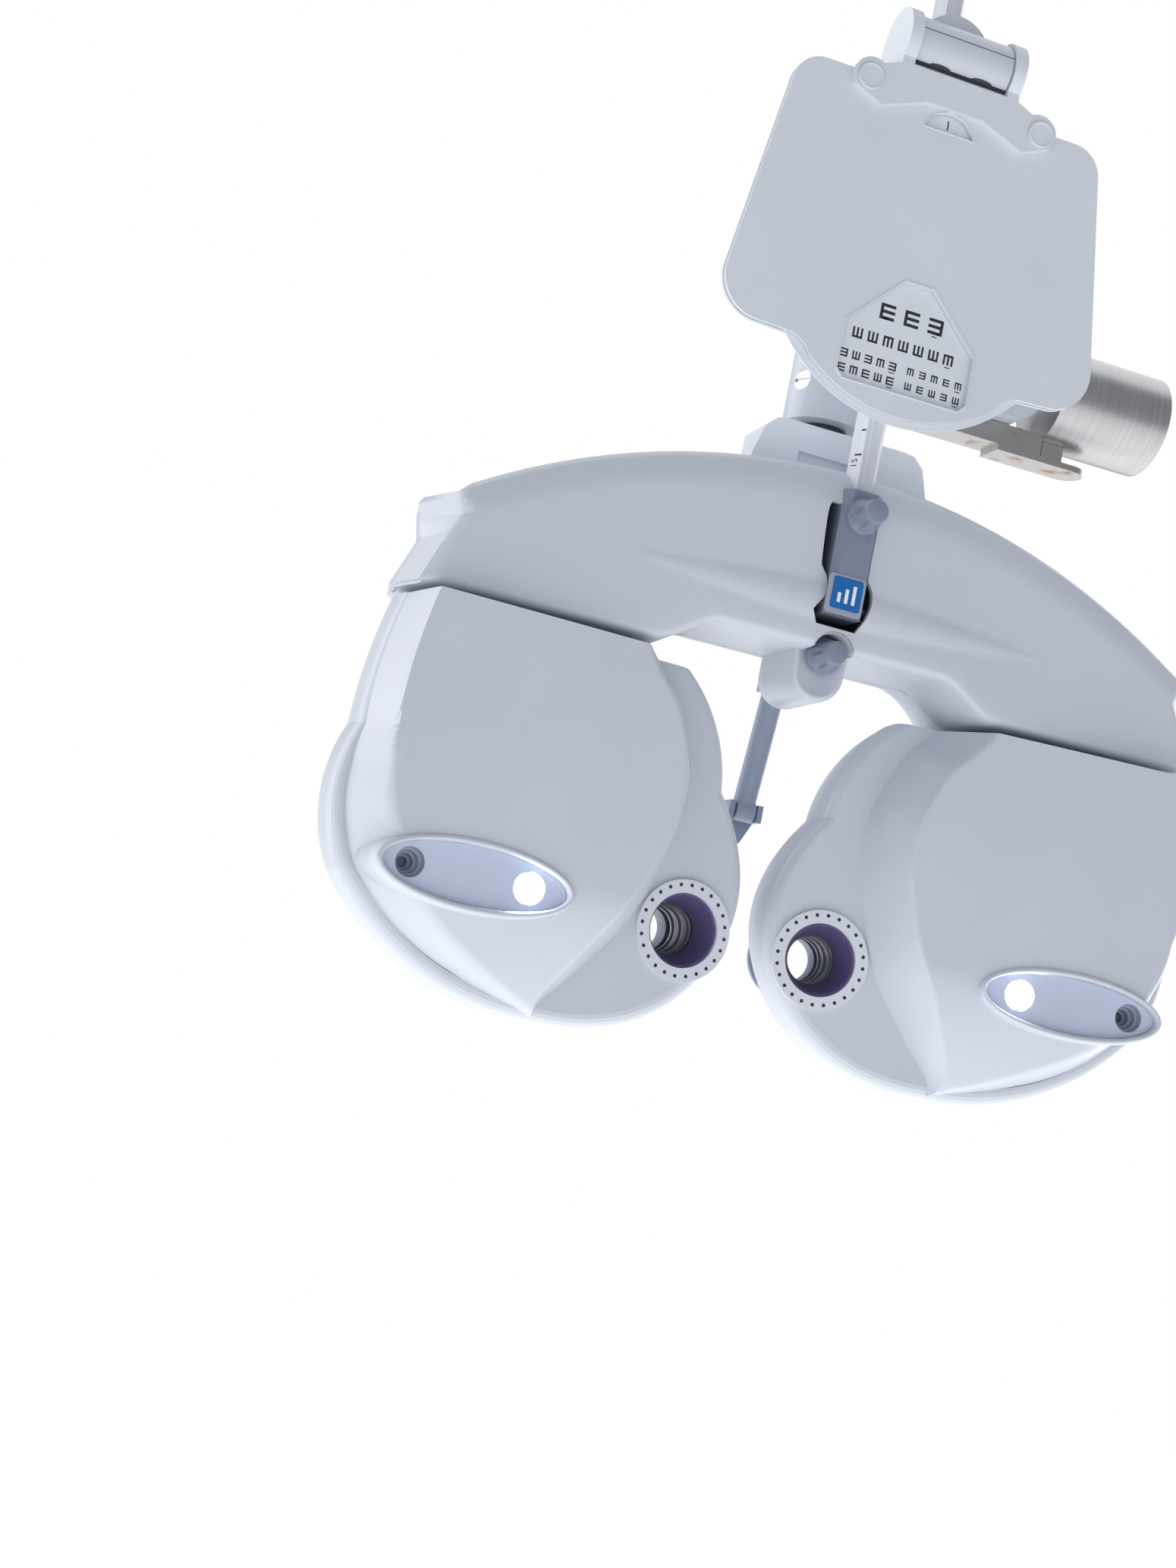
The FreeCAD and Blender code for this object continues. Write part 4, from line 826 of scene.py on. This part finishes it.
def make_boss():
    """The tongue's skin, with a raised rim round its flat front."""
    section = ((3.2, -15.6), (2.2, -16.4), (1.1, -16.3), (0.4, -15.6), (0, -14.3), (0, 11.9))
    rings = [[machine(x, y, z) for x, z in boss_outline(inset)] for inset, y in section]
    boss = loft("boss_skin", rings, SHELL, cap_first=True, sharp=50)
    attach(boss, "arch")


# ---- knobs ----------------------------------------------------------------------------------------------


# rings of a knob from its tip, as (distance from the tip, radius, depth of the flutes)
KNOB_RINGS = (
    (0, 3.9, 0), (0.15, 4.25, 0), (0.6, 4.5, 0), (2.6, 4.85, 0), (3.6, 5.0, 0.3), (4.8, 5.2, 0.8),
    (7, 5.6, 1.1), (9, 5.95, 1.15), (10.2, 6.15, 0.8), (11, 6.3, 0.25), (11.6, 6.4, 0),
    (11.9, 7.0, 0), (13.6, 7.15, 0), (13.9, 6.9, 0),
)
KNOB_LENGTH, KNOB_FLUTES = 14, 6


def make_knob(node_name, body, tip_y, z, stem_radius, stem_end):
    """A tapered knob with a flat tip, six flutes and a collar, on its stem."""
    stem = ((KNOB_LENGTH, stem_radius, 0), (stem_end - tip_y, stem_radius, 0))
    rings = []
    for along, radius, flute in KNOB_RINGS + stem:
        ring = []
        for turn in full_turn(96):
            reach = radius - flute * max(math.cos(KNOB_FLUTES * turn), 0) ** 0.8
            ring.append(machine(reach * math.cos(turn), tip_y + along, z + reach * math.sin(turn)))
        rings.append(ring)
    knob = loft(node_name + "_turned", rings, BLUEGREY, cap_first=True, cap_last=True)
    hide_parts(node_name)
    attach(knob, body)


def make_knobs():
    """The rod's clamping knob and the forehead rest's knob."""
    make_knob("rod_knob", "rod_clamp_knob", -45.3, 167, 2, -27.8)
    make_knob("forehead_knob", "forehead_screw_knob", -31.3, KNOB_Z, 2.5, 29.7)


# ---- marks and small pieces -----------------------------------------------------------------------------


def text_piece(name, words, height, place, material, body):
    """Flat figures, centred, cut from the built-in typeface. place turns (a, b) in mm into a point."""
    data = bpy.data.curves.new(name, "FONT")
    data.body = words
    data.align_x = "CENTER"
    data.align_y = "CENTER"
    data.size = 1
    letters = bpy.data.objects.new(name + "_letters", data)
    bpy.context.scene.collection.objects.link(letters)
    bpy.context.view_layer.update()
    mesh = bpy.data.meshes.new_from_object(letters.evaluated_get(bpy.context.evaluated_depsgraph_get()))
    bpy.data.objects.remove(letters)
    for vertex in mesh.vertices:
        vertex.co = place(vertex.co.x * height, vertex.co.y * height)
    piece = bpy.data.objects.new(name, mesh)
    bpy.context.scene.collection.objects.link(piece)
    piece.data.materials.append(material)
    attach(piece, body)
    return piece


def shape_piece(name, shapes, place, material, body):
    """Flat marks: shapes is a list of outlines, each a list of (a, b) in mm."""
    points, faces = [], []
    for outline in shapes:
        faces.append(tuple(range(len(points), len(points) + len(outline))))
        points += [place(a, b) for a, b in outline]
    piece = mesh_piece(name, points, faces, material)
    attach(piece, body)
    return piece


def rectangle(x, z, width, height):
    """The outline of a bar around the point (x, z)."""
    a, b = width / 2, height / 2
    return [(x - a, z - b), (x + a, z - b), (x + a, z + b), (x - a, z + b)]


ROD_Y = 22
ROD_APOTHEM = 5.53  # from the rod's axis to the middle of a flat, with room for the ink


def rod_face(a, z):
    """A point on the rod's left front face: a across the face, z up."""
    along = Vector((0.5, -math.sqrt(3) / 2, 0))
    middle = Vector((-ROD_APOTHEM * math.sqrt(3) / 2, -ROD_Y - ROD_APOTHEM / 2, z))
    return machine(*(middle + along * a))


FIRST_MARK, LAST_MARK, FIRST_MARK_Z = 15, 50, 192


def mark_rod():
    """Centimetre marks and figures on the rod, which read the distance to the eye."""
    ticks = []
    for centimetre in range(FIRST_MARK, LAST_MARK + 1):
        z = FIRST_MARK_Z + 10 * (centimetre - FIRST_MARK)
        length = 3.4 if centimetre % 5 == 0 else 2.2
        ticks.append(rectangle(2.6 - length / 2, z, length, 0.7))
        if centimetre % 5 == 0:
            text_piece(
                f"rod_figure_{centimetre}",
                str(centimetre),
                4.0,
                lambda a, b, z=z: rod_face(-b - 0.2, z - 3.3 + a),
                INK_AND_HOLE_SHADE,
                "near_rod_assembly",
            )
    shape_piece("rod_marks", ticks, rod_face, INK_AND_HOLE_SHADE, "near_rod_assembly")


CARD_FRONT = 43.13
NUMBER_Z = 321.6


def chart_front(x, z):
    """A point just before the chart's card."""
    return machine(x, -CARD_FRONT, z)


def tumbling_e(x, z, size, turn):
    """The bars of an E of a given size, turned by quarter turns."""
    unit = size / 5
    bars = [rectangle(-2 * unit, 0, unit, size)]
    bars += [rectangle(0.5 * unit, k * 2 * unit, 4 * unit, unit) for k in (-1, 0, 1)]
    made = []
    for bar in bars:
        outline = bar
        for _ in range(turn):
            outline = [(-b, a) for a, b in outline]
        made.append([(x + a, z + b) for a, b in outline])
    return made


def letter_turn(row, i):
    """The quarter turns of a row's letter i, which follow no visible pattern."""
    if row < 2:
        return (i * i * i + 3 * i + 5 * row) % 4
    return (3 * i + i * i // 2 + row) % 4


def print_chart():
    """Rows of tumbling Es, with small bars under them where a chart has its acuity figures."""
    rows = (  # letters in the row, height of the row, size, pitch, middle
        (3, 243.2, 6.2, 10.2, 0),
        (7, 232, 4.2, 6.4, -1.5),
        (5, 223.2, 3.2, 5.1, -14.5),
        (5, 223.2, 2.8, 5.1, 13.5),
        (5, 217.4, 3.2, 5.1, -14.5),
        (5, 217.4, 2.8, 5.1, 13.5),
    )
    bars = []
    for row, (count, z, size, pitch, middle) in enumerate(rows):
        for i in range(count):
            x = middle + pitch * (i - (count - 1) / 2)
            bars += tumbling_e(x, z, size, letter_turn(row, i))
        bars.append(rectangle(middle + pitch * (count - 1) / 2, z - size / 2 - 0.9, 2.2, 0.4))
    shape_piece("chart_print", bars, chart_front, INK_AND_HOLE_SHADE, "chart_dial")
    text_piece("chart_number", "1", 5.5, lambda a, b: chart_front(a, NUMBER_Z + b), INK_AND_HOLE_SHADE, "chart_dial")


RING_MARKS, RING_PITCH, MARK_RADIUS, MARK_V = 24, 17.6, 0.74, -1.3


def ring_marks(side_name):
    """Black dots in place of the small holes round the axis ring: painted shade of the holes' floors."""
    side = SIDES[side_name]
    dots = []
    for turn in full_turn(RING_MARKS):
        u = RING_PITCH * math.cos(turn + math.pi / 2)
        w = RING_PITCH * math.sin(turn + math.pi / 2)
        dots.append([(u + MARK_RADIUS * math.cos(t), w + MARK_RADIUS * math.sin(t)) for t in full_turn(12)])
    shape_piece(
        side_name + "_ring_dots",
        dots,
        lambda u, w: head_point(side, u, MARK_V, w),
        INK_AND_HOLE_SHADE,
        side_name + "_head",
    )


CAP_X, CAP_Z = 36.5, 328


def bracket_caps():
    """The thin raised lines round the chart bracket's two screw caps."""
    for side_name, side in SIDES.items():
        x, rings = CAP_X * side, []
        for radius, y in ((5.15, -48.6), (5.15, -49.05), (4.75, -49.25), (4.35, -49.05), (4.3, -48.6)):
            circle = [(x + radius * math.cos(t), CAP_Z + radius * math.sin(t)) for t in full_turn(48)]
            rings.append([machine(a, y, z) for a, z in circle])
        line = loft("bracket_cap_" + side_name, rings, CHART)
        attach(line, "chart")


BARREL_Y, BARREL_Z, BARREL_RADIUS, BARREL_HALF = 38, 350, 12, 19.8


def hinge_lines():
    """The seam round the hinge barrel, and the dark gap under it with its two half-moon notches."""
    y, z, radius = -BARREL_Y, BARREL_Z, BARREL_RADIUS + 0.05

    def on_barrel(x, turn):
        return machine(x, y - radius * math.cos(turn), z + radius * math.sin(turn))

    ends = (-BARREL_HALF, BARREL_HALF)
    seam = [[on_barrel(x, turn) for x in ends] for turn in (0.29, 0.26)]
    gap = [[on_barrel(x, turn) for x in ends] for turn in (-0.79, -0.86, -0.93)]
    points, faces = [], []
    for strip in (seam, gap):
        for (a, b), (c, d) in zip(strip, strip[1:]):
            faces.append(tuple(range(len(points), len(points) + 4)))
            points += [a, b, d, c]
    for x in (-9, 9):
        turns = [math.pi * i / 12 for i in range(13)]
        faces.append(tuple(range(len(points), len(points) + 13)))
        points += [on_barrel(x + 4.5 * math.cos(t), -0.80 + 0.1 * math.sin(t)) for t in turns]
    lines = mesh_piece("hinge_lines", points, faces, DARK)
    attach(lines, "chart_slider")


PIN_Y, PIN_Z, PIN_RADIUS = 24, 128.6, 0.95


def holder_pin():
    """The bright end of the pin that the rod's holder folds on."""
    circle = [(PIN_RADIUS * math.cos(t) - PIN_Y, PIN_Z + PIN_RADIUS * math.sin(t)) for t in full_turn(24)]
    rings = [[machine(x, y, z) for y, z in circle] for x in (-2.5, 3.3)]
    pin = loft("holder_pin", rings, GROUND, cap_first=True, cap_last=True)
    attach(pin, "near_rod_assembly")


def border_line(name, outline, width):
    """A thin raised line round a window of the chart."""
    middle = (sum(x for x, z in outline) / len(outline), sum(z for x, z in outline) / len(outline))
    rings = []
    for out, y in ((0, -44.9), (0, -45.25), (width * 0.3, -45.4), (width * 0.7, -45.4), (width, -44.95)):
        ring = []
        for x, z in outline:
            reach = math.dist((x, z), middle)
            ring.append(machine(x + (x - middle[0]) / reach * out, y, z + (z - middle[1]) / reach * out))
        rings.append(ring)
    line = loft(name, rings, CHART)
    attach(line, "chart")


def border_lines():
    """The raised lines round the chart's two windows."""
    corners = [(27, 216), (27, 235), (6, 256), (-6, 256), (-27, 235), (-27, 216), (-24, 213), (24, 213)]
    border_line("window_border", corners, 1.0)
    half_moon = arc_points((-10.5, 318), (0, 325.5), (10.5, 318), 20)
    border_line("number_border", half_moon, 0.8)


def make_badge():
    """A plain blue plate on the rod holder with three light bars."""
    y, z, half = -31.1, 136.2, 6.2

    def badge_point(a, b, depth):
        return machine(a - 0.7, depth, z + b)

    corners = []
    for cx, cz, start in ((1, -1, -90), (1, 1, 0), (-1, 1, 90), (-1, -1, 180)):
        for i in range(6):
            t = math.radians(start + 18 * i)
            corners.append((cx * (half - 1.2) + 1.2 * math.cos(t), cz * (half - 1.2) + 1.2 * math.sin(t)))
    frame_ring = [(1.24 * a - 0.4, 1.24 * b - 0.6) for a, b in corners]
    plate = prism("badge_plate", corners, badge_point, y - 0.4, y, BLUE)
    border = prism("badge_frame", frame_ring, badge_point, y - 0.2, -30.9, BADGE_GREY)
    for piece in (plate, border):
        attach(piece, "near_rod_assembly")
    bars = [rectangle(-3 + 3 * i, -0.9 * (2 - i), 1.4, 7.4 - 1.8 * (2 - i)) for i in range(3)]
    shape_piece(
        "badge_bars", bars, lambda a, b: badge_point(a, b, y - 0.45), WHITE_INK, "near_rod_assembly",
    )


COVER_RINGS = cover_rings()
dress_cad_nodes()
for side_name in SIDES:
    make_cover(side_name)
dress_arch()
mark_rod()
print_chart()
border_lines()
for side_name in SIDES:
    ring_marks(side_name)
bracket_caps()
hinge_lines()
holder_pin()
make_badge()
make_knobs()
add_camera()
add_lights()
add_world()
add_floor()
bpy.context.scene.view_settings.view_transform = "Standard"

bpy.context.view_layer.update()
